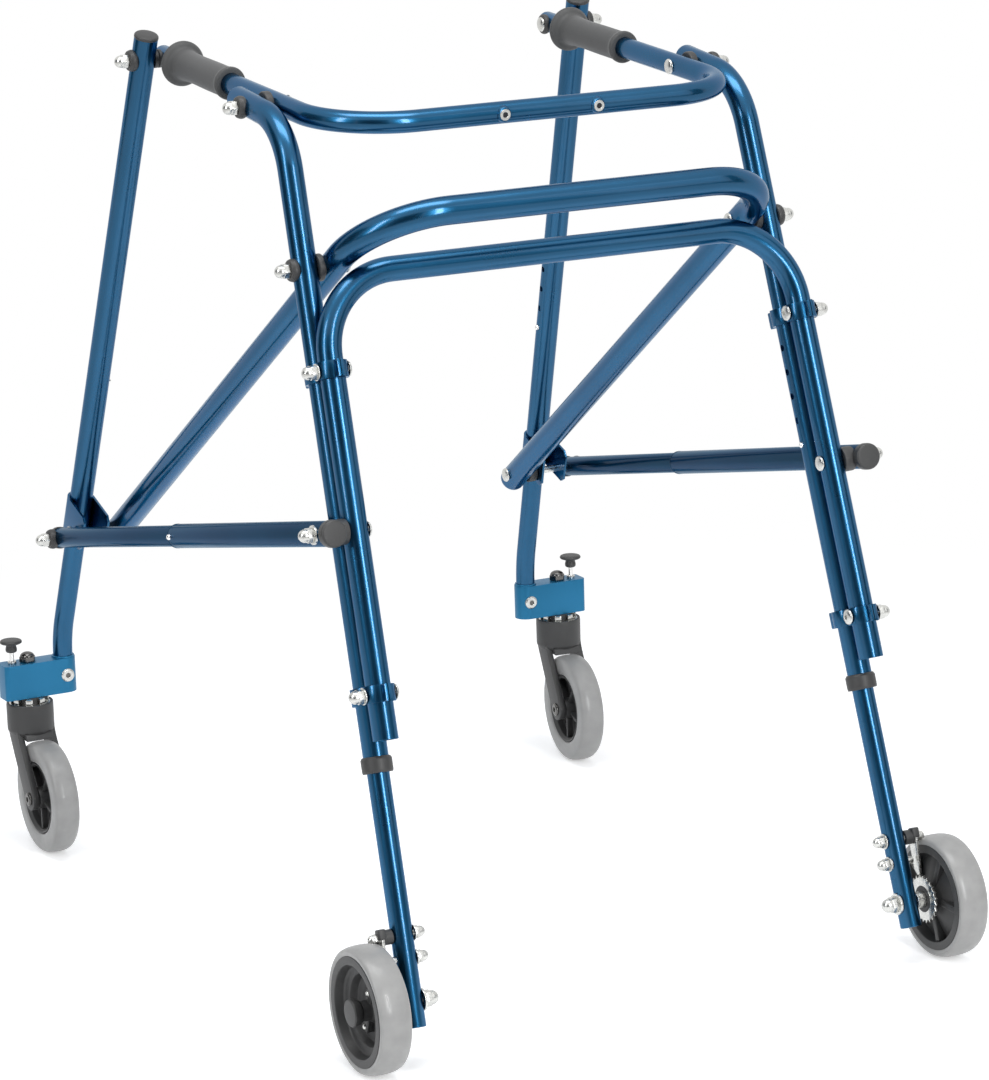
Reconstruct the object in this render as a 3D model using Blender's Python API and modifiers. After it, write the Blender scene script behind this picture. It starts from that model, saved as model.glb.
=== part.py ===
"""A folding four-wheeled walker of bent tube, at its real size.

The user stands between the two grips, with the closed hoops behind. Metres, +Z up, +X to the
user's right, +Y the way the user walks. The origin is on the floor, under the middle of the walker.
"""

import math

import bmesh
import bpy
from mathutils import Matrix, Vector

# Tube sizes: outer diameters, and the walls of the three that another tube slides in.
UPRIGHT_OD = 0.0254
REAR_HOOP_OD = 0.0254
MIDDLE_HOOP_OD = 0.0286
HANDLEBAR_OD = 0.0222
FRONT_UPPER_OD = 0.0254
BRACE_OUTER_OD = 0.0254
TUBE_WALL = 0.0013
SLIDE_FIT = 0.0003

# Gaps: between pieces that touch, and round a bolt in its hole.
TOUCH = 0.0003
HOLE_FIT = 0.0004
THROUGH = 0.004

# Wheels.
WHEEL_RADIUS = 0.0635
REAR_WHEEL_X = 0.326
REAR_WHEEL_WIDTH = 0.0346
CASTER_WHEEL_WIDTH = 0.029
AXLE_RADIUS = 0.005

# Rear legs: the upright and the leg tube in it share one straight axis through the rear axle.
REAR_LEG_FOOT_X = 0.2818
REAR_LEG_LEAN = 0.3361
REAR_LEG_SPLAY = 0.0302
UPRIGHT_FOOT_Z = 0.2754
UPRIGHT_BORE_TOP_Z = 0.6674
UPRIGHT_BEND_RADIUS = 0.075
UPRIGHT_TOP_SLOPE = 0.1167
UPRIGHT_PAST_PIVOT = 0.0369
REAR_LEG_FOOT_Z = 0.0392
REAR_LEG_TOP_Z = 0.5523
REAR_BUTTON_Z = 0.5185
PAWL_PIVOT_Z = 0.1251
PAWL_STOP_Z = 0.1027

# Height adjustment: four free holes above each button, an inch apart along the tube.
HOLE_PITCH = 0.0254
FREE_HOLES = 4
BUTTON_RADIUS = 0.0031
BUTTON_PROUD = 0.0030

# Rear hoop: its legs run behind the uprights, joined to them by clamps.
HOOP_GAP = 0.0040
REAR_HOOP_FOOT_Z = 0.3118
REAR_HOOP_BAR_Z = 0.7420
REAR_HOOP_BEND = 0.081
UPPER_CLAMP_DROP = 0.0872
LOWER_CLAMP_RISE = 0.0428
CLAMP_HEIGHTS = {
    "upper": REAR_HOOP_BAR_Z - UPPER_CLAMP_DROP,
    "lower": REAR_HOOP_FOOT_Z + LOWER_CLAMP_RISE,
}
CLAMP_HEIGHT = 0.017
STRAP = 0.003
CLAMP_FRONT_LUG = 0.0145
CLAMP_REAR_LUG = 0.007
CLAMP_SLIT = 0.0008

# Handlebar: straight arms that rise a little to the front.
HANDLEBAR_X = 0.229
HANDLEBAR_SLOPE = 0.0652
HANDLEBAR_PIVOT = (0.3501, 0.8915)
HANDLEBAR_PAST_LEG = 0.01675
HANDLEBAR_REAR_Y = 0.2113
HANDLEBAR_BEND = 0.085
GRIP_FROM_BAR_END = 0.0571
GRIP_LENGTH = 0.124
GRIP_RADIUS = 0.0157
GRIP_LIP_RADIUS = 0.0172
GRIP_FLANGE_RADIUS = 0.0240
GRIP_FLANGE_THICK = 0.008

# Middle hoop: the arms that join the uprights to the front legs, and their closed rear bend.
ARM_PIVOT_Z = 0.7452
ARM_PIVOT = (REAR_LEG_LEAN * (ARM_PIVOT_Z - WHEEL_RADIUS), ARM_PIVOT_Z)
ARM_X_AT_PIVOT = 0.2312
ARM_X_AT_FRONT = 0.2500
FRONT_PIVOT = (0.7897, 0.3685)
MIDDLE_HOOP_REACH_BACK = 0.104
MIDDLE_HOOP_REACH_FRONT = 0.021
MIDDLE_HOOP_BEND = 0.087

# Front legs: one straight axis, bent to vertical above the caster block. It passes this far out and
# ahead of the middle hoop's front pivot, and ends a little over the handlebar.
FRONT_LEG_X = 0.2882
FRONT_LEG_AHEAD_OF_PIVOT = 0.02993
FRONT_LEG_LEAN = 0.3478
FRONT_LEG_SPLAY = 0.0563
FRONT_LEG_OVER_BAR = 0.0252
FRONT_UPPER_UNDER_PIVOT = 0.002
FRONT_UPPER_FOOT_Z = FRONT_PIVOT[1] - FRONT_UPPER_UNDER_PIVOT
FRONT_BORE_DEPTH = 0.3332
FRONT_LOWER_INSERTED = 0.2222
FRONT_BUTTON_RISE = 0.1785
FRONT_BORE_TOP_Z = FRONT_UPPER_FOOT_Z + FRONT_BORE_DEPTH
FRONT_LOWER_TOP_Z = FRONT_UPPER_FOOT_Z + FRONT_LOWER_INSERTED
FRONT_BUTTON_Z = FRONT_UPPER_FOOT_Z + FRONT_BUTTON_RISE
FRONT_KNEE_OVER_BLOCK = 0.0235
FRONT_KNEE_BEND = 0.130

# Front bracket: a strap round the front leg, with two side plates that reach back from its axis.
BRACKET_OVER_PIVOT = 0.0194
BRACKET_MIDDLE_Z = FRONT_PIVOT[1] + BRACKET_OVER_PIVOT
BRACKET_HEIGHT = 0.041
BRACKET_PLATE = 0.0025
BRACKET_REACH = 0.0485
BRACKET_CORNER = 0.004

# Caster block, on the foot of the front leg.
BLOCK_TOP_Z = 0.2120
BLOCK_FOOT_Z = 0.1720
FRONT_KNEE_Z = BLOCK_TOP_Z + FRONT_KNEE_OVER_BLOCK
BLOCK_INNER_X = 0.2822
BLOCK_OUTER_X = 0.370
BLOCK_WIDTH = 0.027
BLOCK_OUTER_CORNER = 0.005
CASTER_STEM_X = 0.3385
PLUNGER_X = 0.357

# Caster fork.
CASTER_TRAIL = 0.0415
CASTER_YAW = {"right": math.radians(-4.8), "left": math.radians(0.9)}
STEM_RADIUS = 0.0065
STEM_NUT_TOP_Z = 0.2215
STEM_NUT_RADIUS = 0.009
LOCK_RING_RADIUS = 0.027
LOCK_RING_THICK = 0.0082
LOCK_RING_NOTCHES = 8
LOCK_NOTCH_ROOT = 0.0145
LOCK_NOTCH_WIDTH = 0.0090
LOCK_NOTCH_DEPTH = 0.0087
CROWN_FOOT_Z = 0.1315
CROWN_RADIUS = 0.0265
FORK_LEG_WIDTH = 0.027
FORK_PLATE = 0.0070
FORK_CLEAR = 0.0012
FORK_FOOT_RADIUS = 0.013

# Swivel lock plunger: a sprung pin that drops towards the notched ring.
PLUNGER_TIP_Z = 0.1740
PLUNGER_PIN_RADIUS = 0.0027
PLUNGER_NECK_RADIUS = 0.0065
PLUNGER_NECK_Z = (0.2250, 0.2368)
PLUNGER_KNOB_RADIUS = 0.0125
PLUNGER_KNOB_TOP_Z = 0.2400

# Side braces: two tubes, one in the other, with a spring button near the step between them.
BRACE_REAR_Z = 0.5059
BRACE_REAR_X = 0.301
BRACE_FRONT_X = 0.318
BRACE_REAR_REACH = 0.020
BRACE_STEP_Y = {"right": 0.510, "left": 0.469}
BRACE_INSERTED = 0.060
BRACE_TRAVEL = 0.221
BRACE_FRONT_REACH = 0.010
BRACE_BUTTON_BACK = 0.006

# Bolts.
BOLT_RADIUS = 0.004
ACORN_RADIUS = 0.0068
ACORN_LENGTH = 0.0145
FLAT_WASHER_RADIUS = 0.0080
FLAT_WASHER_THICK = 0.0012
SADDLE_RADIUS = 0.0118
SADDLE_THICK = 0.005
SPACER_RADIUS = 0.014
HEAD_RADIUS = 0.008
HEAD_THICK = 0.0035
LOWER_BOLT_END_RADIUS = 0.006
LOWER_BOLT_END_THICK = 0.0008

# How finely round shapes are cut.
TUBE_SIDES = 12
BEND_STEPS = 5
BOLT_SIDES = 8
PIN_SIDES = 8
WHEEL_SIDES = 24
BORE_SIDES = 16

SIDES = (("right", 1), ("left", -1))
UP = Vector((0, 0, 1))
AHEAD = Vector((0, 1, 0))

UPRIGHT_RADIUS = UPRIGHT_OD / 2
REAR_HOOP_RADIUS = REAR_HOOP_OD / 2
MIDDLE_HOOP_RADIUS = MIDDLE_HOOP_OD / 2
HANDLEBAR_RADIUS = HANDLEBAR_OD / 2
FRONT_UPPER_RADIUS = FRONT_UPPER_OD / 2
BRACE_OUTER_RADIUS = BRACE_OUTER_OD / 2


def inner_tube_radius(outer_radius):
    """The radius of the tube that slides in a tube of this outer radius."""
    return outer_radius - TUBE_WALL - SLIDE_FIT


REAR_LEG_RADIUS = inner_tube_radius(UPRIGHT_RADIUS)
FRONT_LOWER_RADIUS = inner_tube_radius(FRONT_UPPER_RADIUS)
BRACE_INNER_RADIUS = inner_tube_radius(BRACE_OUTER_RADIUS)


def front_leg_point(side, z):
    """The point of a front leg's axis at height z, measured ahead of the rear axle."""
    pivot_y, pivot_z = FRONT_PIVOT
    down = pivot_z - z
    y = pivot_y + FRONT_LEG_AHEAD_OF_PIVOT + FRONT_LEG_LEAN * down
    return Vector((side * (FRONT_LEG_X + FRONT_LEG_SPLAY * down), y, z))


def handlebar_height(y):
    pivot_y, pivot_z = HANDLEBAR_PIVOT
    return pivot_z + HANDLEBAR_SLOPE * (y - pivot_y)


# Seen from the side, the handlebar and the front leg are straight lines that cross at their bolt.
LEG_ON_FLOOR = front_leg_point(1, 0)
HANDLEBAR_FRONT_PIVOT_Z = handlebar_height(LEG_ON_FLOOR.y) / (1 + HANDLEBAR_SLOPE * FRONT_LEG_LEAN)
FRONT_LEG_TOP_Z = HANDLEBAR_FRONT_PIVOT_Z + FRONT_LEG_OVER_BAR
HANDLEBAR_FRONT_Y = front_leg_point(1, HANDLEBAR_FRONT_PIVOT_Z).y + HANDLEBAR_PAST_LEG
GRIP_FLANGE_Y = HANDLEBAR_FRONT_Y - GRIP_FROM_BAR_END
GRIP_REAR_Y = GRIP_FLANGE_Y - GRIP_LENGTH


SOCKET = front_leg_point(1, FRONT_KNEE_Z)
FRONT_EXTENT = SOCKET.y + max(WHEEL_RADIUS - CASTER_TRAIL, CROWN_RADIUS)
REAR_EXTENT = -WHEEL_RADIUS
MIDDLE_Y = (FRONT_EXTENT + REAR_EXTENT) / 2


def placed(point):
    """Moves a point measured ahead of the rear axle to the walker's own frame."""
    return Vector(point) - Vector((0, MIDDLE_Y, 0))


def front_leg(side, z):
    return placed(front_leg_point(side, z))


def rear_leg(side, z):
    """The point of the upright's and rear leg's shared axis at height z."""
    rise = z - WHEEL_RADIUS
    return placed((side * (REAR_LEG_FOOT_X - REAR_LEG_SPLAY * rise), REAR_LEG_LEAN * rise, z))


def rear_leg_up(side):
    return Vector((-side * REAR_LEG_SPLAY, REAR_LEG_LEAN, 1)).normalized()


def front_leg_up(side):
    return Vector((-side * FRONT_LEG_SPLAY, -FRONT_LEG_LEAN, 1)).normalized()


def ahead_of(up):
    """The forward direction square to a leg that leans ahead or back and splays."""
    across = Vector((1, 0, 0))
    return up.cross(across).normalized()


HOOP_SPACING = UPRIGHT_RADIUS + HOOP_GAP + REAR_HOOP_RADIUS


def rear_hoop_leg(side, z):
    """The point at height z of the rear hoop's leg, which runs behind the upright."""
    up = rear_leg_up(side)
    back = -ahead_of(up) * HOOP_SPACING
    start = rear_leg(side, z) + back
    return start - up * (back.z / up.z)


def arm_point(side, beyond):
    """A point of the middle hoop's arm, this far ahead of its pivot on the upright."""
    rear = placed((side * ARM_X_AT_PIVOT, *ARM_PIVOT))
    front = placed((side * ARM_X_AT_FRONT, *FRONT_PIVOT))
    return rear + (front - rear).normalized() * beyond


ARM_LENGTH = (arm_point(1, 1) - arm_point(1, 0)).dot(
    Vector((ARM_X_AT_FRONT, *FRONT_PIVOT)) - Vector((ARM_X_AT_PIVOT, *ARM_PIVOT))
)


def handlebar_point(side, y):
    return placed((side * HANDLEBAR_X, y, handlebar_height(y)))


def brace_pivot(side):
    """The brace's rear pivot on its own axis, the outward bolt direction, and the brace's direction."""
    hoop = rear_hoop_leg(side, BRACE_REAR_Z)
    front = placed((side * BRACE_FRONT_X, *FRONT_PIVOT))
    run = (front - Vector((side * BRACE_REAR_X, hoop.y, hoop.z))).normalized()
    outward = run.cross(rear_leg_up(side)).normalized() * side
    pivot = hoop + outward * ((side * BRACE_REAR_X - hoop.x) / outward.x)
    return pivot, outward, (front - pivot).normalized()


def brace_point(side, y):
    """The point of the brace's axis at a distance y ahead of the rear axle."""
    pivot, _, run = brace_pivot(side)
    return pivot + run * ((y - MIDDLE_Y - pivot.y) / run.y)


# Scene and materials.


def clear_scene():
    for obj in list(bpy.data.objects):
        bpy.data.objects.remove(obj, do_unlink=True)


def new_collection(name, hidden=False):
    collection = bpy.data.collections.new(name)
    bpy.context.scene.collection.children.link(collection)
    collection.hide_render = hidden
    return collection


FINISHES = {
    "blue_tube": ((0.010, 0.085, 0.300), 0.22, 0.85),
    "dark_tube": ((0.012, 0.030, 0.070), 0.28, 0.80),
    "blue_casting": ((0.012, 0.060, 0.160), 0.45, 0.20),
    "zinc": ((0.62, 0.62, 0.60), 0.35, 1.0),
    "black_plastic": ((0.020, 0.020, 0.022), 0.45, 0.0),
    "black_rubber": ((0.030, 0.030, 0.030), 0.75, 0.0),
    "grey_tyre": ((0.30, 0.30, 0.30), 0.70, 0.0),
    "chrome": ((0.75, 0.75, 0.74), 0.15, 1.0),
}


def material_for(name, finish):
    """An own material for each object, from one of the walker's finishes."""
    colour, roughness, metallic = FINISHES[finish]
    material = bpy.data.materials.new(name)
    material.use_nodes = True
    shader = material.node_tree.nodes["Principled BSDF"]
    shader.inputs["Base Color"].default_value = (*colour, 1)
    shader.inputs["Roughness"].default_value = roughness
    shader.inputs["Metallic"].default_value = metallic
    material.diffuse_color = (*colour, 1)
    return material


# Shapes.


def frame_at(origin, z_axis, x_axis):
    """A place whose local Z is z_axis and whose local X is as near x_axis as that allows."""
    z = z_axis.normalized()
    y = z.cross(x_axis).normalized()
    x = y.cross(z)
    rotation = Matrix((x, y, z)).transposed().to_4x4()
    return Matrix.Translation(origin) @ rotation


def place_along(origin, direction):
    rotation = direction.to_track_quat("Z", "Y").to_matrix().to_4x4()
    return Matrix.Translation(origin) @ rotation


def add_object(name, data, place):
    obj = bpy.data.objects.new(name, data)
    PARTS.objects.link(obj)
    obj.matrix_world = place
    return obj


def turned(name, profile, place, sides):
    """A shape turned about local Z from (radius, height) points that run down its outer side."""
    mesh = bpy.data.meshes.new(name)
    points = [(radius, 0, height) for radius, height in profile]
    closed = profile[0][0] > 0
    edges = [(i, i + 1) for i in range(len(points) - 1)]
    if closed:
        edges.append((len(points) - 1, 0))
    mesh.from_pydata(points, edges, [])
    obj = add_object(name, mesh, place)
    screw = obj.modifiers.new("turn", "SCREW")
    screw.axis = "Z"
    screw.steps = sides
    screw.render_steps = sides
    screw.use_merge_vertices = True
    screw.merge_threshold = 0.00001
    return obj


def rod(name, start, end, radius, sides=TUBE_SIDES, dome=0.0):
    """A straight round bar, with both ends rounded where dome is more than nothing."""
    length = (end - start).length
    if dome:
        top = [(0, length), (radius * 0.7, length - dome * 0.2), (radius, length - dome)]
        profile = top + [(r, length - h) for r, h in reversed(top)]
    else:
        profile = [(0, length), (radius, length), (radius, 0), (0, 0)]
    return turned(name, profile, place_along(start, end - start), sides)


def as_mesh(obj):
    """The object as a plain welded mesh, with its modifiers or its bevel applied."""
    bpy.context.view_layer.update()
    graph = bpy.context.evaluated_depsgraph_get()
    mesh = bpy.data.meshes.new_from_object(obj.evaluated_get(graph))
    shape = bmesh.new()
    shape.from_mesh(mesh)
    bmesh.ops.remove_doubles(shape, verts=shape.verts, dist=0.000002)
    bmesh.ops.recalc_face_normals(shape, faces=shape.faces)
    shape.to_mesh(mesh)
    shape.free()
    name, place = obj.name, obj.matrix_world.copy()
    bpy.data.objects.remove(obj, do_unlink=True)
    mesh.name = name
    return add_object(name, mesh, place)


def rounded_path(corners, bend, steps=BEND_STEPS):
    """A polyline through corners, with each inner corner turned into an arc of the bend radius."""
    path = [corners[0]]
    for before, corner, after in zip(corners, corners[1:], corners[2:]):
        into = (corner - before).normalized()
        out = (after - corner).normalized()
        turn = into.angle(out)
        reach = bend * math.tan(turn / 2)
        middle = corner + (out - into).normalized() * (bend / math.cos(turn / 2))
        start = corner - into * reach - middle
        axis = into.cross(out)
        for step in range(steps + 1):
            path.append(middle + Matrix.Rotation(turn * step / steps, 3, axis) @ start)
    path.append(corners[-1])
    return path


def bent_tube(name, path, radius, dome=0.0):
    """A tube along a path, as a mesh; its ends are rounded over the dome length."""
    if dome:
        first = (path[1] - path[0]).normalized()
        last = (path[-1] - path[-2]).normalized()
        head = [(path[0], 0.55), (path[0] + first * dome * 0.3, 0.88), (path[0] + first * dome, 1)]
        tail = [(path[-1] - last * dome, 1), (path[-1] - last * dome * 0.3, 0.88), (path[-1], 0.55)]
        points = head + [(point, 1) for point in path[1:-1]] + tail
    else:
        points = [(point, 1) for point in path]
    curve = bpy.data.curves.new(name, "CURVE")
    curve.dimensions = "3D"
    curve.bevel_depth = radius
    curve.bevel_resolution = (TUBE_SIDES - 4) // 2
    curve.use_fill_caps = True
    spline = curve.splines.new("POLY")
    spline.points.add(len(points) - 1)
    for spline_point, (point, share) in zip(spline.points, points):
        spline_point.co = (*point, 1)
        spline_point.radius = share
    return as_mesh(add_object(name, curve, Matrix()))


def plate(name, outlines, thickness, place):
    """A flat shape in local XY, extruded along local Z by its thickness; inner outlines are holes."""
    curve = bpy.data.curves.new(name, "CURVE")
    curve.dimensions = "2D"
    curve.fill_mode = "BOTH"
    curve.extrude = thickness / 2
    for outline in outlines:
        spline = curve.splines.new("POLY")
        spline.points.add(len(outline) - 1)
        spline.use_cyclic_u = True
        for spline_point, (x, y) in zip(spline.points, outline):
            spline_point.co = (x, y, 0, 1)
    return as_mesh(add_object(name, curve, place))


def box(name, size, place):
    mesh = bpy.data.meshes.new(name)
    shape = bmesh.new()
    bmesh.ops.create_cube(shape, size=1)
    bmesh.ops.scale(shape, vec=size, verts=shape.verts)
    shape.to_mesh(mesh)
    shape.free()
    return add_object(name, mesh, place)


def circle(radius, count, centre=(0, 0), start=0.0, sweep=2 * math.pi):
    """Points round a circle or an arc; a whole circle doesn't repeat its first point."""
    last = count if sweep >= 2 * math.pi else count - 1
    angles = [start + sweep * step / last for step in range(count)]
    return [(centre[0] + radius * math.cos(a), centre[1] + radius * math.sin(a)) for a in angles]


def hide_cutter(cutter):
    PARTS.objects.unlink(cutter)
    CUTTERS.objects.link(cutter)
    cutter.hide_render = True
    cutter.display_type = "WIRE"


def cut(obj, cutter):
    hide_cutter(cutter)
    boolean = obj.modifiers.new("cut", "BOOLEAN")
    boolean.operation = "DIFFERENCE"
    boolean.object = cutter


def drill(obj, start, end, radius, sides=BOLT_SIDES):
    """Cuts a straight round hole from start to end."""
    cut(obj, rod(f"{obj.name}_drill", start, end, radius, sides))


def drill_through(obj, point, direction, radius, reach):
    across = direction.normalized() * reach
    drill(obj, point - across, point + across, radius)


def join(obj, other):
    """Joins another shape to obj with a union, and applies it."""
    hide_cutter(other)
    union = obj.modifiers.new("join", "BOOLEAN")
    union.operation = "UNION"
    union.object = other
    joined = as_mesh(obj)
    bpy.data.objects.remove(other, do_unlink=True)
    return joined


def finish(obj, finish_name, axis_point=None):
    """Gives obj its material and smooth shading, and puts its origin on its joint's axis."""
    if obj.type == "MESH":
        obj.data.materials.clear()
        obj.data.materials.append(material_for(obj.name, finish_name))
    if axis_point is not None:
        shift = obj.matrix_world.inverted() @ axis_point
        obj.data.transform(Matrix.Translation(-shift))
        obj.matrix_world = obj.matrix_world @ Matrix.Translation(shift)
    SMOOTHED.append(obj)
    return obj


def carry(parent, *children):
    bpy.context.view_layer.update()
    for child in children:
        child.parent = parent
        child.matrix_parent_inverse = parent.matrix_world.inverted()


# Fasteners. A bolt lies along an axis; its stations are (from, to, radius) down that axis, and a
# station that tapers has two radii.


def stepped(stations):
    """The turned profile of stations listed from the top down, closed on the axis."""
    profile = [(0, stations[0][0])]
    for top, foot, *radii in stations:
        for point in ((radii[0], top), (radii[-1], foot)):
            if point != profile[-1]:
                profile.append(point)
    profile.append((0, stations[-1][1]))
    return profile


def acorn_nut(seat, washer_thick=SADDLE_THICK, washer_radius=SADDLE_RADIUS):
    """An acorn nut and its washer, as stations down to the seat."""
    base = seat + washer_thick
    tip = base + ACORN_LENGTH
    crown = base + ACORN_LENGTH * 0.55
    return [
        (tip, crown, ACORN_RADIUS * 0.5, ACORN_RADIUS),
        (crown, base, ACORN_RADIUS),
        (base, seat, washer_radius),
    ]


def through_bolt(name, point, outward, inner_seat, outer_seat, spacers=(), nut=None):
    """A bolt with a round head at its inner seat and an acorn nut at its outer one."""
    stations = nut or acorn_nut(outer_seat)
    level = outer_seat
    for top, foot in sorted(spacers, reverse=True):
        stations += [(level, top, BOLT_RADIUS), (top, foot, SPACER_RADIUS)]
        level = foot
    stations += [
        (level, inner_seat, BOLT_RADIUS),
        (inner_seat, inner_seat - HEAD_THICK, HEAD_RADIUS, HEAD_RADIUS * 0.7),
    ]
    bolt = turned(name, stepped(stations), place_along(point, outward), BOLT_SIDES)
    return finish(bolt, "zinc")


# Rear frame.


def make_upright(tag, side):
    outward = Vector((side, 0, 0))
    up = rear_leg_up(side)
    foot = rear_leg(side, UPRIGHT_FOOT_Z)
    pivot_y, pivot_z = HANDLEBAR_PIVOT
    # The corner is where the leaning leg's line meets the nearly level top's line.
    level = pivot_z - UPRIGHT_TOP_SLOPE * pivot_y
    corner_z = (level - UPRIGHT_TOP_SLOPE * REAR_LEG_LEAN * WHEEL_RADIUS) / (
        1 - UPRIGHT_TOP_SLOPE * REAR_LEG_LEAN
    )
    corner = rear_leg(side, corner_z)
    tip_y = pivot_y + UPRIGHT_PAST_PIVOT
    tip = placed((corner.x, tip_y, level + UPRIGHT_TOP_SLOPE * tip_y))
    path = rounded_path([foot, corner, tip], UPRIGHT_BEND_RADIUS)
    upright = bent_tube(f"upright_{tag}", path, UPRIGHT_RADIUS)
    bore_top = rear_leg(side, UPRIGHT_BORE_TOP_Z)
    drill(upright, foot - up * THROUGH, bore_top, UPRIGHT_RADIUS - TUBE_WALL, BORE_SIDES)
    button = rear_leg(side, REAR_BUTTON_Z)
    for index in range(FREE_HOLES + 1):
        hole = button + up * HOLE_PITCH * index
        drill(upright, hole, hole - outward * UPRIGHT_OD, BUTTON_RADIUS + HOLE_FIT, PIN_SIDES)
    arm_pivot = rear_leg(side, ARM_PIVOT_Z)
    drill_through(upright, arm_pivot, outward, BOLT_RADIUS + HOLE_FIT, UPRIGHT_OD)
    bar_pivot = placed((corner.x, *HANDLEBAR_PIVOT))
    drill_through(upright, bar_pivot, outward, BOLT_RADIUS + HOLE_FIT, UPRIGHT_OD)
    return finish(upright, "blue_tube"), bar_pivot


def make_rear_hoop():
    corners = [
        rear_hoop_leg(1, REAR_HOOP_FOOT_Z),
        rear_hoop_leg(1, REAR_HOOP_BAR_Z),
        rear_hoop_leg(-1, REAR_HOOP_BAR_Z),
        rear_hoop_leg(-1, REAR_HOOP_FOOT_Z),
    ]
    hoop = bent_tube("rear_hoop", rounded_path(corners, REAR_HOOP_BEND), REAR_HOOP_RADIUS)
    for _, side in SIDES:
        for z in CLAMP_HEIGHTS.values():
            point = rear_hoop_leg(side, z)
            drill_through(hoop, point, Vector((1, 0, 0)), BOLT_RADIUS + HOLE_FIT, REAR_HOOP_OD)
        _, outward, _ = brace_pivot(side)
        point = rear_hoop_leg(side, BRACE_REAR_Z)
        drill_through(hoop, point, outward, BOLT_RADIUS + HOLE_FIT, REAR_HOOP_OD)
    return finish(hoop, "blue_tube")


def clamp_outline():
    """The outside of a strap round both tubes, with a lug ahead of the upright and one behind the hoop.

    Local X is ahead, and the hoop's tube is at the origin.
    """
    band = UPRIGHT_RADIUS + TOUCH + STRAP
    lug = math.asin(STRAP / band)
    waist = math.acos(HOOP_SPACING / 2 / band)
    front = (HOOP_SPACING, 0)
    ahead = HOOP_SPACING + band + CLAMP_FRONT_LUG
    behind = -band - CLAMP_REAR_LUG
    outline = [(ahead, -STRAP), (ahead, STRAP)]
    outline += circle(band, 5, front, lug, math.pi - waist - lug)
    outline += circle(band, 5, (0, 0), waist, math.pi - waist - lug)[1:]
    outline += [(behind, STRAP), (behind, -STRAP)]
    outline += circle(band, 5, (0, 0), math.pi + lug, math.pi - waist - lug)
    outline += circle(band, 5, front, math.pi + waist, math.pi - waist - lug)[1:]
    return outline


def make_clamp(level, tag, side):
    """A folded strap that holds the rear hoop's leg to the upright, and its through bolt."""
    point = rear_hoop_leg(side, CLAMP_HEIGHTS[level])
    up = rear_leg_up(side)
    ahead = ahead_of(up)
    place = frame_at(point, up, ahead)
    tubes = [
        circle(REAR_HOOP_RADIUS + TOUCH, BORE_SIDES),
        circle(UPRIGHT_RADIUS + TOUCH, BORE_SIDES, (HOOP_SPACING, 0)),
    ]
    strap = plate(f"{level}_clamp_{tag}", [clamp_outline(), *tubes], CLAMP_HEIGHT, place)
    slit_length = HOOP_SPACING + UPRIGHT_OD + CLAMP_REAR_LUG + STRAP
    slit_middle = (HOOP_SPACING - slit_length) / 2
    slit = box(
        f"{strap.name}_slit",
        (slit_length, CLAMP_SLIT, CLAMP_HEIGHT * 2),
        place @ Matrix.Translation((slit_middle, 0, 0)),
    )
    cut(strap, slit)
    outward = Vector((side, 0, 0))
    drill_through(strap, point, outward, BOLT_RADIUS + HOLE_FIT, UPRIGHT_OD)
    seat = REAR_HOOP_RADIUS + TOUCH + STRAP + TOUCH
    nut = acorn_nut(seat, FLAT_WASHER_THICK, FLAT_WASHER_RADIUS)
    bolt = through_bolt(f"{level}_clamp_bolt_{tag}", point, outward, -seat, seat, nut=nut)
    return finish(strap, "dark_tube"), bolt


def make_arm_pivot_bolt(tag, side):
    """Holds the middle hoop's arm to the upright, with a spacer between the two tubes."""
    outward = Vector((side, 0, 0))
    point = rear_leg(side, ARM_PIVOT_Z)
    arm = ARM_X_AT_PIVOT - abs(point.x)
    # The arm isn't quite square to the bolt, so the faces next to it stand off twice as far.
    spacer = (-UPRIGHT_RADIUS - TOUCH, arm + MIDDLE_HOOP_RADIUS + TOUCH * 2)
    inner_seat = arm - MIDDLE_HOOP_RADIUS - TOUCH * 2
    outer_seat = UPRIGHT_RADIUS + TOUCH
    return through_bolt(f"arm_pivot_bolt_{tag}", point, outward, inner_seat, outer_seat, [spacer])


def make_handlebar_pivot_bolt(tag, side, point):
    outward = Vector((side, 0, 0))
    bar = HANDLEBAR_X - abs(point.x)
    spacer = (-UPRIGHT_RADIUS - TOUCH, bar + HANDLEBAR_RADIUS + TOUCH)
    inner_seat = bar - HANDLEBAR_RADIUS - TOUCH
    outer_seat = UPRIGHT_RADIUS + TOUCH
    return through_bolt(
        f"handlebar_pivot_bolt_{tag}", point, outward, inner_seat, outer_seat, [spacer]
    )


def make_brace_pivot_bolt(tag, side):
    """Holds the brace off the rear hoop's leg by a bush."""
    pivot, outward, _ = brace_pivot(side)
    hoop = rear_hoop_leg(side, BRACE_REAR_Z)
    stand_off = (pivot - hoop).length
    bush = (stand_off - BRACE_OUTER_RADIUS - TOUCH, REAR_HOOP_RADIUS + TOUCH)
    inner_seat = -REAR_HOOP_RADIUS - TOUCH
    outer_seat = stand_off + BRACE_OUTER_RADIUS + TOUCH
    return through_bolt(f"brace_pivot_bolt_{tag}", hoop, outward, inner_seat, outer_seat, [bush])


# Rear legs and wheels.

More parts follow.
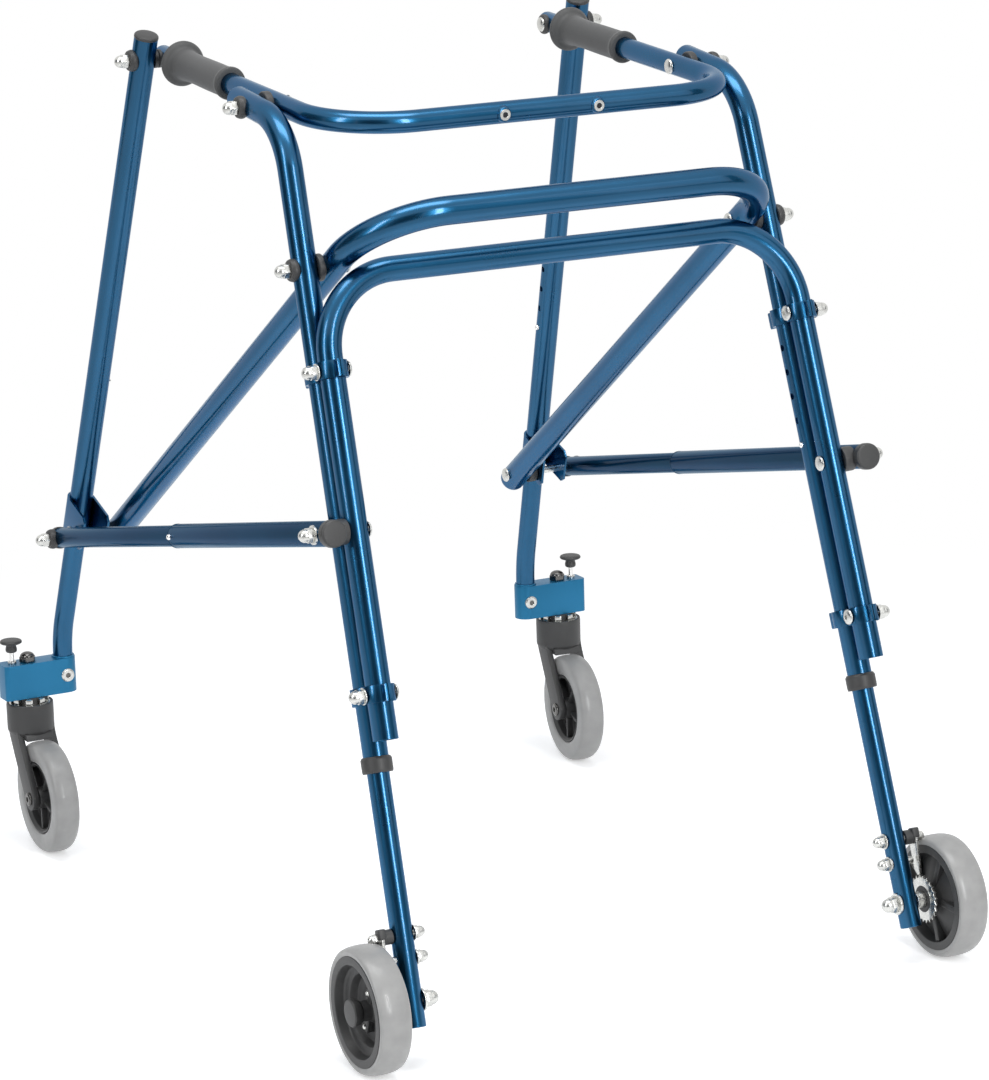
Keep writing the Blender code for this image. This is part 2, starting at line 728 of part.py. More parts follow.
RATCHET_RADIUS = 0.025
RATCHET_ROOT = 0.0215
RATCHET_TEETH = 12
RATCHET_THICK = 0.003
RATCHET_FROM_WHEEL = 0.0227
HUB_INNER_FACE = 0.0245
HUB_BOSS_RADIUS = 0.014
HUB_WEB = 0.012
HUB_FACE = 0.012
TYRE_DEPTH = 0.0135
RIM_RADIUS = WHEEL_RADIUS - TYRE_DEPTH
RIM_WALL = 0.0035
RIM_INNER_RADIUS = RIM_RADIUS - RIM_WALL
RIM_FLANGE_DEPTH = 0.005
RIM_FLANGE_RADIUS = RIM_RADIUS + RIM_FLANGE_DEPTH
RIM_FLANGE_FACE = 0.0163
RIM_FLANGE_THICK = 0.003
HUB_HOLE_RADIUS = 0.005
HUB_HOLE_CIRCLE = 0.030
PAWL_THICK = 0.003
PAWL_EYE_RADIUS = 0.008


def make_rear_leg(tag, side):
    outward = Vector((side, 0, 0))
    foot = rear_leg(side, REAR_LEG_FOOT_Z)
    top = rear_leg(side, REAR_LEG_TOP_Z)
    leg = as_mesh(rod(f"rear_leg_{tag}", foot, top, REAR_LEG_RADIUS, dome=0.003))
    stop = rear_leg(side, PAWL_STOP_Z)
    stud_top = REAR_LEG_RADIUS + 0.006
    stud = [
        (stud_top, -REAR_LEG_RADIUS, BOLT_RADIUS),
        (-REAR_LEG_RADIUS, -REAR_LEG_RADIUS - 0.006, ACORN_RADIUS),
    ]
    leg = join(leg, turned("stop_stud", stepped(stud), place_along(stop, outward), BOLT_SIDES))
    drill_through(leg, rear_leg(side, WHEEL_RADIUS), outward, AXLE_RADIUS + HOLE_FIT, UPRIGHT_OD)
    drill_through(leg, rear_leg(side, PAWL_PIVOT_Z), outward, BOLT_RADIUS + HOLE_FIT, UPRIGHT_OD)
    return finish(leg, "blue_tube", rear_leg(side, UPRIGHT_FOOT_Z))


def make_rear_axle(tag, side):
    """The axle bolt: its nut on the leg's inner side, its head in the hub's outer recess."""
    outward = Vector((side, 0, 0))
    leg = rear_leg(side, WHEEL_RADIUS)
    hub_face = REAR_WHEEL_X - abs(leg.x) + HUB_FACE
    hub_inner_face = REAR_WHEEL_X - abs(leg.x) - HUB_INNER_FACE
    stations = [
        (hub_face + TOUCH + 0.005, hub_face + TOUCH, 0.009),
        (hub_face + TOUCH, hub_inner_face - TOUCH, AXLE_RADIUS),
        (hub_inner_face - TOUCH, REAR_LEG_RADIUS + TOUCH, 0.0085),
        (REAR_LEG_RADIUS + TOUCH, -REAR_LEG_RADIUS - TOUCH, AXLE_RADIUS),
        (-REAR_LEG_RADIUS - TOUCH, -REAR_LEG_RADIUS - 0.0015, 0.011),
        (-REAR_LEG_RADIUS - 0.0015, -REAR_LEG_RADIUS - 0.0095, 0.0085),
    ]
    axle = turned(f"rear_axle_{tag}", stepped(stations), place_along(leg, outward), BOLT_SIDES)
    return finish(axle, "zinc")


def saw_teeth(teeth, tip, root):
    """The outline of a ratchet: each tooth rises slowly from its root and drops at once."""
    outline = []
    for tooth in range(teeth):
        angle = 2 * math.pi * tooth / teeth
        outline.append((tip * math.cos(angle), tip * math.sin(angle)))
        outline.append((root * math.cos(angle + 0.02), root * math.sin(angle + 0.02)))
    return outline


def make_rear_hub(tag, side):
    outward = Vector((side, 0, 0))
    centre = placed((side * REAR_WHEEL_X, 0, WHEEL_RADIUS))
    bore = AXLE_RADIUS + HOLE_FIT
    flange_root = RIM_FLANGE_FACE - RIM_FLANGE_THICK
    profile = [
        (bore, HUB_FACE),
        (HUB_BOSS_RADIUS, HUB_FACE),
        (HUB_BOSS_RADIUS, HUB_WEB / 2),
        (RIM_INNER_RADIUS - 0.002, HUB_WEB / 2),
        (RIM_INNER_RADIUS, RIM_FLANGE_FACE),
        (RIM_FLANGE_RADIUS, RIM_FLANGE_FACE),
        (RIM_RADIUS, flange_root),
        (RIM_RADIUS, -flange_root),
        (RIM_FLANGE_RADIUS, -RIM_FLANGE_FACE),
        (RIM_INNER_RADIUS, -RIM_FLANGE_FACE),
        (RIM_INNER_RADIUS - 0.002, -HUB_WEB / 2),
        (HUB_BOSS_RADIUS, -HUB_WEB / 2),
        (HUB_BOSS_RADIUS, -HUB_INNER_FACE),
        (bore, -HUB_INNER_FACE),
    ]
    name = f"rear_hub_{tag}"
    place = frame_at(centre, outward, UP)
    hub = as_mesh(turned(name, profile, place, WHEEL_SIDES))
    disc_place = place @ Matrix.Translation((0, 0, -RATCHET_FROM_WHEEL))
    teeth = saw_teeth(RATCHET_TEETH, RATCHET_RADIUS, RATCHET_ROOT)
    hole = circle(HUB_BOSS_RADIUS - 0.003, BOLT_SIDES)
    hub = join(hub, plate("ratchet", [teeth, hole], RATCHET_THICK, disc_place))
    for turn in (1, -1):
        start = place @ Vector((0, turn * HUB_HOLE_CIRCLE, -HUB_WEB))
        end = place @ Vector((0, turn * HUB_HOLE_CIRCLE, HUB_WEB))
        drill(hub, start, end, HUB_HOLE_RADIUS, PIN_SIDES)
    return finish(hub, "black_plastic")


def tyre_profile(width, bead, shoulder):
    """A solid tyre: a bead between the rim's flanges, and a crowned tread over them.

    The bead and the shoulder are each a radius and a width.
    """
    half = width / 2
    upper = [
        (bead[0], bead[1] / 2),
        (shoulder[0], shoulder[1] / 2),
        (WHEEL_RADIUS * 0.955, half * 0.95),
        (WHEEL_RADIUS, half * 0.45),
    ]
    return upper + [(r, -h) for r, h in reversed(upper)]


def make_rear_tyre(tag, side):
    centre = placed((side * REAR_WHEEL_X, 0, WHEEL_RADIUS))
    bead_width = (RIM_FLANGE_FACE - RIM_FLANGE_THICK - TOUCH) * 2
    shoulder_width = (RIM_FLANGE_FACE - TOUCH) * 2
    profile = tyre_profile(
        REAR_WHEEL_WIDTH,
        (RIM_RADIUS + TOUCH, bead_width),
        (RIM_FLANGE_RADIUS + TOUCH, shoulder_width),
    )
    place = frame_at(centre, Vector((side, 0, 0)), UP)
    return finish(turned(f"rear_tyre_{tag}", profile, place, WHEEL_SIDES), "grey_tyre")


def make_pawl(tag, side):
    """The one-way pawl: a lever in the ratchet's plane, with its pin through the leg."""
    outward = Vector((side, 0, 0))
    pivot = rear_leg(side, PAWL_PIVOT_Z)
    axle = placed((0, 0, WHEEL_RADIUS))
    reach = math.hypot(pivot.y - axle.y, pivot.z - axle.z)
    slope = math.atan2(pivot.z - axle.z, pivot.y - axle.y)
    tip = RATCHET_RADIUS + TOUCH
    # The blade is drawn from the axle: its tip rides on the teeth, its eye is on the pin.
    outline = [(tip, -0.0015), (tip + 0.006, -0.006), (reach - 0.004, -0.0065)]
    outline += circle(PAWL_EYE_RADIUS, 9, (reach, 0), -math.pi / 2, math.pi)
    outline += [(reach - 0.006, 0.0065), (tip + 0.010, 0.004), (tip, 0.0015)]
    plane_x = REAR_WHEEL_X - RATCHET_FROM_WHEEL
    origin = Vector((side * plane_x, axle.y, axle.z))
    ahead = Vector((0, math.cos(slope), math.sin(slope)))
    name = f"pawl_{tag}"
    blade = plate(name, [outline], PAWL_THICK, frame_at(origin, Vector((1, 0, 0)), ahead))
    gap = plane_x - abs(pivot.x)
    pin = [
        (gap + PAWL_THICK / 2 + 0.002, gap, BOLT_RADIUS + 0.002),
        (gap, REAR_LEG_RADIUS + TOUCH, BOLT_RADIUS + 0.002),
        (REAR_LEG_RADIUS + TOUCH, -REAR_LEG_RADIUS - TOUCH, BOLT_RADIUS),
        (-REAR_LEG_RADIUS - TOUCH, -REAR_LEG_RADIUS - 0.0065, ACORN_RADIUS),
    ]
    pawl = join(blade, turned("pawl_pin", stepped(pin), place_along(pivot, outward), BOLT_SIDES))
    return finish(pawl, "zinc", pivot)


def make_button(name, seat, proud_way, tube_radius, travel=0.001):
    """A snap button in an outer tube's hole. It stops short of the tube that slides within."""
    start = seat + proud_way * (tube_radius - TUBE_WALL + travel + 0.00005)
    end = seat + proud_way * (tube_radius + BUTTON_PROUD)
    length = (end - start).length
    profile = [
        (0, length),
        (BUTTON_RADIUS * 0.5, length),
        (BUTTON_RADIUS, length - 0.0014),
        (BUTTON_RADIUS, 0),
        (0, 0),
    ]
    return finish(turned(name, profile, place_along(start, proud_way), PIN_SIDES), "chrome")


# Handlebar and grips.


def make_handlebar():
    corners = [
        handlebar_point(1, HANDLEBAR_FRONT_Y),
        handlebar_point(1, HANDLEBAR_REAR_Y),
        handlebar_point(-1, HANDLEBAR_REAR_Y),
        handlebar_point(-1, HANDLEBAR_FRONT_Y),
    ]
    path = rounded_path(corners, HANDLEBAR_BEND)
    bar = bent_tube("handlebar", path, HANDLEBAR_RADIUS, dome=0.004)
    for _, side in SIDES:
        outward = Vector((side, 0, 0))
        front = handlebar_front_pivot(side)
        front.x = side * HANDLEBAR_X
        stub = [
            (HANDLEBAR_RADIUS + TOUCH + 0.0018, HANDLEBAR_RADIUS - 0.002, SPACER_RADIUS * 0.7),
            (HANDLEBAR_RADIUS - 0.002, -HANDLEBAR_RADIUS + 0.002, BOLT_RADIUS),
            (-HANDLEBAR_RADIUS + 0.002, -HANDLEBAR_RADIUS - HEAD_THICK, HEAD_RADIUS),
        ]
        place = place_along(front, outward)
        bar = join(bar, turned("handlebar_stub", stepped(stub), place, BOLT_SIDES))
    for _, side in SIDES:
        pivot = handlebar_point(side, HANDLEBAR_PIVOT[0])
        outward = Vector((side, 0, 0))
        drill_through(bar, pivot, outward, BOLT_RADIUS + HOLE_FIT, HANDLEBAR_OD)
    return finish(bar, "blue_tube", placed((0, *HANDLEBAR_PIVOT)))


def make_grip(tag, side):
    """A moulded sleeve on the handlebar's arm, with a flange ahead of the hand and a lip behind it."""
    rear = handlebar_point(side, GRIP_REAR_Y)
    front = handlebar_point(side, GRIP_FLANGE_Y + GRIP_FLANGE_THICK / 2)
    length = (front - rear).length
    bore = HANDLEBAR_RADIUS + TOUCH
    flange = GRIP_FLANGE_THICK
    profile = [
        (bore, length),
        (GRIP_FLANGE_RADIUS * 0.93, length),
        (GRIP_FLANGE_RADIUS, length - flange * 0.5),
        (GRIP_FLANGE_RADIUS * 0.93, length - flange),
        (GRIP_RADIUS, length - flange - 0.003),
        (GRIP_RADIUS, 0.009),
        (GRIP_LIP_RADIUS, 0.004),
        (GRIP_LIP_RADIUS, 0.001),
        (GRIP_RADIUS, 0),
        (bore, 0),
    ]
    place = place_along(rear, front - rear)
    return finish(turned(f"grip_{tag}", profile, place, TUBE_SIDES + 4), "black_rubber")


# Middle hoop.


def make_middle_hoop():
    front = ARM_LENGTH + MIDDLE_HOOP_REACH_FRONT
    corners = [
        arm_point(1, front),
        arm_point(1, -MIDDLE_HOOP_REACH_BACK),
        arm_point(-1, -MIDDLE_HOOP_REACH_BACK),
        arm_point(-1, front),
    ]
    path = rounded_path(corners, MIDDLE_HOOP_BEND)
    hoop = bent_tube("middle_hoop", path, MIDDLE_HOOP_RADIUS, dome=0.004)
    for _, side in SIDES:
        outward = Vector((side, 0, 0))
        for point in (arm_point(side, 0), arm_point(side, ARM_LENGTH)):
            drill_through(hoop, point, outward, BOLT_RADIUS + HOLE_FIT, MIDDLE_HOOP_OD)
    return finish(hoop, "blue_tube", placed((0, *ARM_PIVOT)))


# Front legs.


def handlebar_front_pivot(side):
    return front_leg(side, HANDLEBAR_FRONT_PIVOT_Z)


def make_front_upper(tag, side):
    """The upper tube, with the fixed half of the handlebar's front bolt through its top."""
    outward = Vector((side, 0, 0))
    up = front_leg_up(side)
    foot = front_leg(side, FRONT_UPPER_FOOT_Z)
    top = front_leg(side, FRONT_LEG_TOP_Z)
    length = (top - foot).length
    dome = [(0, length), (FRONT_UPPER_RADIUS * 0.7, length - 0.001)]
    profile = dome + [(FRONT_UPPER_RADIUS, length - 0.005), (FRONT_UPPER_RADIUS, 0), (0, 0)]
    name = f"front_leg_upper_{tag}"
    leg = as_mesh(turned(name, profile, place_along(foot, top - foot), TUBE_SIDES))
    pivot = handlebar_front_pivot(side)
    stub_end = HANDLEBAR_X + HANDLEBAR_RADIUS + TOUCH * 2 + 0.0018 - abs(pivot.x)
    stations = acorn_nut(FRONT_UPPER_RADIUS - 0.001)
    stations += [
        (FRONT_UPPER_RADIUS - 0.001, -FRONT_UPPER_RADIUS + 0.002, BOLT_RADIUS),
        (-FRONT_UPPER_RADIUS + 0.002, stub_end, SPACER_RADIUS * 0.7),
    ]
    bolt = turned("front_bolt", stepped(stations), place_along(pivot, outward), BOLT_SIDES)
    leg = join(leg, bolt)
    bore_top = front_leg(side, FRONT_BORE_TOP_Z)
    drill(leg, foot - up * THROUGH, bore_top, FRONT_UPPER_RADIUS - TUBE_WALL, BORE_SIDES)
    button = front_leg(side, FRONT_BUTTON_Z)
    for index in range(FREE_HOLES + 1):
        hole = button + up * HOLE_PITCH * index
        drill(leg, hole, hole - outward * FRONT_UPPER_OD, BUTTON_RADIUS + HOLE_FIT, PIN_SIDES)
    return finish(leg, "blue_tube", placed((side * ARM_X_AT_FRONT, *FRONT_PIVOT)))


def bracket_plate_offset():
    """From the front leg's axis to the middle of a side plate."""
    return FRONT_UPPER_RADIUS + TOUCH + BRACKET_PLATE / 2


def make_bracket(tag, side):
    """A strap bent round the leg, and two plates back to the lower pivot."""
    up = front_leg_up(side)
    ahead = ahead_of(up)
    middle = front_leg(side, BRACKET_MIDDLE_Z)
    inner = FRONT_UPPER_RADIUS + TOUCH
    outer = inner + BRACKET_PLATE
    outline = circle(outer, 11, (0, 0), -math.pi / 2, math.pi)
    outline += [(-0.010, outer), (-0.010, inner)]
    outline += [(x, y) for x, y in reversed(circle(inner, 11, (0, 0), -math.pi / 2, math.pi))]
    outline += [(-0.010, -inner), (-0.010, -outer)]
    name = f"front_bracket_{tag}"
    bracket = plate(name, [outline], BRACKET_HEIGHT, frame_at(middle, up, ahead))
    half = BRACKET_HEIGHT / 2
    side_outline = [
        (-0.002, half),
        (BRACKET_CORNER - BRACKET_REACH, half),
        (-BRACKET_REACH, half - BRACKET_CORNER),
        (-BRACKET_REACH, BRACKET_CORNER - half),
        (BRACKET_CORNER - BRACKET_REACH, -half),
        (-0.002, -half),
    ]
    across = ahead.cross(up)
    for way in (1, -1):
        origin = middle + across * way * bracket_plate_offset()
        side_plate = plate(
            "side_plate", [side_outline], BRACKET_PLATE - 0.00002, frame_at(origin, across, ahead)
        )
        bracket = join(bracket, side_plate)
    pivot = placed((side * ARM_X_AT_FRONT, *FRONT_PIVOT))
    reach = Vector((0.1, 0, 0))
    drill(bracket, pivot - reach, pivot + reach, BOLT_RADIUS + HOLE_FIT)
    return finish(bracket, "dark_tube")


def make_lower_pivot_bolt(tag, side):
    """Joins the middle hoop's arm to the bracket. Its outer end is flush, clear of the brace."""
    outward = Vector((side, 0, 0))
    arm = placed((side * ARM_X_AT_FRONT, *FRONT_PIVOT))
    up = front_leg_up(side)
    leg = front_leg(side, BRACKET_MIDDLE_Z)
    leg_x = abs((leg + up * (arm - leg).dot(up)).x)
    # The plates aren't quite square to the bolt, so its flat faces stand off by their tilt.
    tilt = math.sqrt(1 - ahead_of(up).cross(up).x ** 2)
    plate_face = bracket_plate_offset() + BRACKET_PLATE / 2 + TOUCH
    inner_face = leg_x - plate_face - SADDLE_RADIUS * tilt - ARM_X_AT_FRONT
    outer_face = leg_x + plate_face + LOWER_BOLT_END_RADIUS * tilt - ARM_X_AT_FRONT
    arm_face = MIDDLE_HOOP_RADIUS + TOUCH
    stations = [
        (outer_face + LOWER_BOLT_END_THICK, outer_face, LOWER_BOLT_END_RADIUS),
        (outer_face, inner_face, BOLT_RADIUS),
        (inner_face, arm_face, SADDLE_RADIUS),
        (arm_face, -arm_face, BOLT_RADIUS),
        (-arm_face, -arm_face - 0.0015, SADDLE_RADIUS),
        (-arm_face - 0.0015, -arm_face - HEAD_THICK, HEAD_RADIUS),
    ]
    name = f"lower_pivot_bolt_{tag}"
    bolt = turned(name, stepped(stations), place_along(arm, outward), BOLT_SIDES)
    return finish(bolt, "zinc")


def make_front_lower(tag, side):
    top = front_leg(side, FRONT_LOWER_TOP_Z)
    knee = front_leg(side, FRONT_KNEE_Z)
    foot = Vector((knee.x, knee.y, BLOCK_FOOT_Z + 0.0025))
    path = rounded_path([top, knee, foot], FRONT_KNEE_BEND, 5)
    leg = bent_tube(f"front_leg_lower_{tag}", path, FRONT_LOWER_RADIUS)
    return finish(leg, "blue_tube", front_leg(side, FRONT_UPPER_FOOT_Z))


# Casters.


def make_caster_block(tag, side):
    middle_x = side * (BLOCK_INNER_X + BLOCK_OUTER_X) / 2
    middle = placed((middle_x, SOCKET.y, (BLOCK_TOP_Z + BLOCK_FOOT_Z) / 2))
    # Local X is outward: a half round at the leg's end, and small corners at the plunger's.
    half_x = (BLOCK_OUTER_X - BLOCK_INNER_X) / 2
    half_y = BLOCK_WIDTH / 2
    corner_x, corner_y = half_x - BLOCK_OUTER_CORNER, half_y - BLOCK_OUTER_CORNER
    outline = circle(half_y, 9, (half_y - half_x, 0), math.pi / 2, math.pi)
    outline += circle(BLOCK_OUTER_CORNER, 3, (corner_x, -corner_y), -math.pi / 2, math.pi / 2)
    outline += circle(BLOCK_OUTER_CORNER, 3, (corner_x, corner_y), 0, math.pi / 2)
    height = BLOCK_TOP_Z - BLOCK_FOOT_Z
    name = f"caster_block_{tag}"
    place = frame_at(middle, UP, Vector((side, 0, 0)))
    block = plate(name, [outline], height, place)
    bevel = block.modifiers.new("soft_edges", "BEVEL")
    bevel.width = 0.002
    bevel.segments = 1
    bevel.limit_method = "ANGLE"
    bevel.angle_limit = math.radians(60)
    block = as_mesh(block)
    holes = (
        (SOCKET.x, FRONT_LOWER_RADIUS + TOUCH, BORE_SIDES),
        (CASTER_STEM_X, STEM_RADIUS + HOLE_FIT, BORE_SIDES),
        (PLUNGER_X, PLUNGER_PIN_RADIUS + HOLE_FIT, BOLT_SIDES),
    )
    for x, radius, sides in holes:
        low = placed((side * x, SOCKET.y, BLOCK_FOOT_Z - THROUGH))
        high = placed((side * x, SOCKET.y, BLOCK_TOP_Z + THROUGH))
        drill(block, low, high, radius, sides)
    return finish(block, "blue_casting")


def caster_frame(tag, side):
    """The caster's place: on the floor under its stem, turned by its yaw."""
    stem = placed((side * CASTER_STEM_X, SOCKET.y, 0))
    return Matrix.Translation(stem) @ Matrix.Rotation(CASTER_YAW[tag], 4, "Z")


def caster_wheel_place(tag, side):
    """The wheel's place: its centre, with local Z outward along its axle."""
    place = caster_frame(tag, side)
    centre = place @ Vector((0, -CASTER_TRAIL, WHEEL_RADIUS))
    return frame_at(centre, place.to_3x3() @ Vector((side, 0, 0)), UP)


def make_caster_fork(tag, side):
    """Round crown, two raked legs, the axle bolt between them, the notched ring and the stem."""
    place = caster_frame(tag, side)
    inside = CASTER_WHEEL_WIDTH / 2 + FORK_CLEAR
    ring_top = BLOCK_FOOT_Z - TOUCH
    ring_foot = ring_top - LOCK_RING_THICK
    stem_nut_foot = BLOCK_TOP_Z + TOUCH
    name = f"caster_fork_{tag}"
    stem = [
        (0, STEM_NUT_TOP_Z),
        (STEM_NUT_RADIUS * 0.6, STEM_NUT_TOP_Z - 0.001),
        (STEM_NUT_RADIUS, STEM_NUT_TOP_Z - 0.004),
        (STEM_NUT_RADIUS, stem_nut_foot),
        (STEM_RADIUS, stem_nut_foot),
        (STEM_RADIUS, ring_top),
        (LOCK_RING_RADIUS, ring_top),
        (LOCK_RING_RADIUS, ring_foot),
        (CROWN_RADIUS, ring_foot),
        (CROWN_RADIUS, CROWN_FOOT_Z),
        (0, CROWN_FOOT_Z),
    ]
    fork = as_mesh(turned(name, stem, place, BORE_SIDES))
    # Seen from the side: local X is ahead of the stem, local Y is up from the floor.
    outline = circle(FORK_FOOT_RADIUS, 8, (-CASTER_TRAIL, WHEEL_RADIUS), math.pi * 0.9, math.pi)
    half = FORK_LEG_WIDTH / 2
    outline += [(half, CROWN_FOOT_Z + 0.003), (half, ring_foot - 0.001)]
    outline += [(-half, ring_foot - 0.001), (-half, CROWN_FOOT_Z + 0.003)]
    for way in (1, -1):
        middle = way * (inside + FORK_PLATE / 2)
        across = Matrix.Rotation(math.pi / 2, 4, "Y") @ Matrix.Rotation(math.pi / 2, 4, "Z")
        leg_place = place @ Matrix.Translation((middle, 0, 0)) @ across
        leg = plate("fork_leg", [outline], FORK_PLATE - 0.00002, leg_place)
        fork = join(fork, leg)
    seat = inside + FORK_PLATE - 0.0005
    axle = [
        (seat + 0.003, seat, CASTER_AXLE_HEAD_RADIUS),
        (seat, -seat, BOLT_RADIUS),
        (-seat, -seat - 0.003, CASTER_AXLE_HEAD_RADIUS),
    ]
    axle_place = caster_wheel_place(tag, side)
    fork = join(fork, turned("axle", stepped(axle), axle_place, BOLT_SIDES))
    for notch in range(LOCK_RING_NOTCHES):
        turn = Matrix.Rotation(2 * math.pi * notch / LOCK_RING_NOTCHES, 4, "Z")
        middle = (LOCK_NOTCH_ROOT + LOCK_RING_RADIUS / 2, 0, ring_top - LOCK_NOTCH_DEPTH / 2 + 0.001)
        size = (LOCK_RING_RADIUS, LOCK_NOTCH_WIDTH, LOCK_NOTCH_DEPTH + 0.002)
        gap = box(f"{name}_notch", size, place @ turn @ Matrix.Translation(middle))
        cut(fork, gap)
    stem_foot = place @ Vector((0, 0, ring_foot))
    return finish(fork, "black_plastic", stem_foot)


CASTER_TYRE_DEPTH = 0.023
CASTER_HUB_RADIUS = WHEEL_RADIUS - CASTER_TYRE_DEPTH
CASTER_BOSS_RADIUS = 0.012
CASTER_AXLE_HEAD_RADIUS = 0.0075


def make_caster_hub(tag, side):
    bore = BOLT_RADIUS + HOLE_FIT
    half = CASTER_WHEEL_WIDTH / 2
    profile = [
        (bore, half),
        (CASTER_BOSS_RADIUS, half),
        (CASTER_BOSS_RADIUS + 0.001, half - 0.005),
        (CASTER_HUB_RADIUS - 0.005, half - 0.005),
        (CASTER_HUB_RADIUS, half - 0.001),
    ]
    profile += [(r, -h) for r, h in reversed(profile)]
    hub = turned(f"caster_hub_{tag}", profile, caster_wheel_place(tag, side), WHEEL_SIDES)
    return finish(hub, "black_plastic")


def make_caster_tyre(tag, side):
    bead = (CASTER_HUB_RADIUS + TOUCH, CASTER_WHEEL_WIDTH * 0.9)
    shoulder = (CASTER_HUB_RADIUS + 0.005, CASTER_WHEEL_WIDTH)
    profile = tyre_profile(CASTER_WHEEL_WIDTH, bead, shoulder)
    tyre = turned(f"caster_tyre_{tag}", profile, caster_wheel_place(tag, side), WHEEL_SIDES)
    return finish(tyre, "grey_tyre")


def make_plunger(tag, side):
    foot = placed((side * PLUNGER_X, SOCKET.y, 0))
    neck_foot, neck_top = PLUNGER_NECK_Z
    stations = [
        (PLUNGER_KNOB_TOP_Z, neck_top, PLUNGER_KNOB_RADIUS * 0.93, PLUNGER_KNOB_RADIUS),
        (neck_top, neck_foot, PLUNGER_NECK_RADIUS),
        (neck_foot, PLUNGER_TIP_Z, PLUNGER_PIN_RADIUS),
    ]
    name = f"lock_plunger_{tag}"
    plunger = turned(name, stepped(stations), Matrix.Translation(foot), TUBE_SIDES)
    return finish(plunger, "black_plastic")


# Side braces.


def make_brace_outer(tag, side):
    pivot, outward, run = brace_pivot(side)
    rear = pivot - run * BRACE_REAR_REACH
    mouth = brace_point(side, BRACE_STEP_Y[tag])
    length = (mouth - rear).length
    profile = [(0, length), (BRACE_OUTER_RADIUS, length), (BRACE_OUTER_RADIUS, 0.004)]
    profile += [(BRACE_OUTER_RADIUS * 0.8, 0.0008), (0, 0)]
    tube = turned(f"brace_outer_{tag}", profile, place_along(rear, run), TUBE_SIDES)
    bore_end = mouth - run * (BRACE_INSERTED + BRACE_TRAVEL + THROUGH)
    drill(tube, bore_end, mouth + run * THROUGH, BRACE_OUTER_RADIUS - TUBE_WALL, BORE_SIDES)
    drill_through(tube, pivot, outward, BOLT_RADIUS + HOLE_FIT, BRACE_OUTER_OD)
    seat = mouth - run * BRACE_BUTTON_BACK
    drill(tube, seat, seat + outward * BRACE_OUTER_OD, BUTTON_RADIUS + HOLE_FIT, PIN_SIDES)
    return finish(tube, "dark_tube", pivot)


def make_brace_inner(tag, side):
    """The sliding tube, with the outer half of the front pivot: its washer and nut."""
    outward = Vector((side, 0, 0))
    _, _, run = brace_pivot(side)
    front_pivot = placed((side * BRACE_FRONT_X, *FRONT_PIVOT))
    mouth = brace_point(side, BRACE_STEP_Y[tag])
    start = mouth - run * BRACE_INSERTED
    end = front_pivot + run * BRACE_FRONT_REACH
    tube = as_mesh(rod(f"brace_inner_{tag}", start, end, BRACE_INNER_RADIUS, dome=0.002))
    stations = acorn_nut(BRACE_INNER_RADIUS - 0.001)
    stations += [
        (BRACE_INNER_RADIUS - 0.001, -BRACE_INNER_RADIUS + 0.002, BOLT_RADIUS),
        (-BRACE_INNER_RADIUS + 0.002, -BRACE_INNER_RADIUS - 0.0012, SADDLE_RADIUS),
    ]
    nut = turned("brace_nut", stepped(stations), place_along(front_pivot, outward), BOLT_SIDES)
    return finish(join(tube, nut), "dark_tube", start)


def make_side(tag, side, middle_hoop, handlebar):
    """Everything on one side, each piece carried by the piece that holds it."""
    outward = Vector((side, 0, 0))
    upright, bar_pivot = make_upright(tag, side)
    for level in CLAMP_HEIGHTS:
        carry(upright, *make_clamp(level, tag, side))
    carry(upright, make_arm_pivot_bolt(tag, side))
    carry(upright, make_handlebar_pivot_bolt(tag, side, bar_pivot))
    carry(upright, make_brace_pivot_bolt(tag, side))
    carry(
        upright,
        make_button(
            f"rear_leg_button_{tag}", rear_leg(side, REAR_BUTTON_Z), -outward, UPRIGHT_RADIUS
        ),
    )

    leg = make_rear_leg(tag, side)
    carry(upright, leg)
    hub = make_rear_hub(tag, side)
    carry(leg, make_rear_axle(tag, side), hub, make_pawl(tag, side))
    carry(hub, make_rear_tyre(tag, side))

    carry(handlebar, make_grip(tag, side))

    front = make_front_upper(tag, side)
    carry(middle_hoop, front)
    carry(front, make_bracket(tag, side), make_lower_pivot_bolt(tag, side))
    carry(
        front,
        make_button(
            f"front_leg_button_{tag}", front_leg(side, FRONT_BUTTON_Z), -outward, FRONT_UPPER_RADIUS
        ),
    )
    lower = make_front_lower(tag, side)
    carry(front, lower)
    block = make_caster_block(tag, side)
    carry(lower, block)
    fork = make_caster_fork(tag, side)
    carry(block, fork, make_plunger(tag, side))
    hub = make_caster_hub(tag, side)
    carry(fork, hub)
    carry(hub, make_caster_tyre(tag, side))

    outer = make_brace_outer(tag, side)
    carry(upright, outer)
    _, brace_outward, run = brace_pivot(side)
    seat = brace_point(side, BRACE_STEP_Y[tag]) - run * BRACE_BUTTON_BACK
    button = make_button(f"brace_button_{tag}", seat, brace_outward, BRACE_OUTER_RADIUS)
    carry(outer, make_brace_inner(tag, side), button)
    return upright


def smooth_all():
    for obj in SMOOTHED:
        mesh = obj.data
        mesh.shade_smooth()
        mesh.set_sharp_from_angle(angle=math.radians(35))


clear_scene()
PARTS = new_collection("walker")
CUTTERS = new_collection("cutters", hidden=True)
SMOOTHED = []

rear_hoop = make_rear_hoop()
middle_hoop = make_middle_hoop()
handlebar = make_handlebar()
for side_tag, side_way in SIDES:
    carry(rear_hoop, make_side(side_tag, side_way, middle_hoop, handlebar))
carry(rear_hoop, middle_hoop, handlebar)
smooth_all()
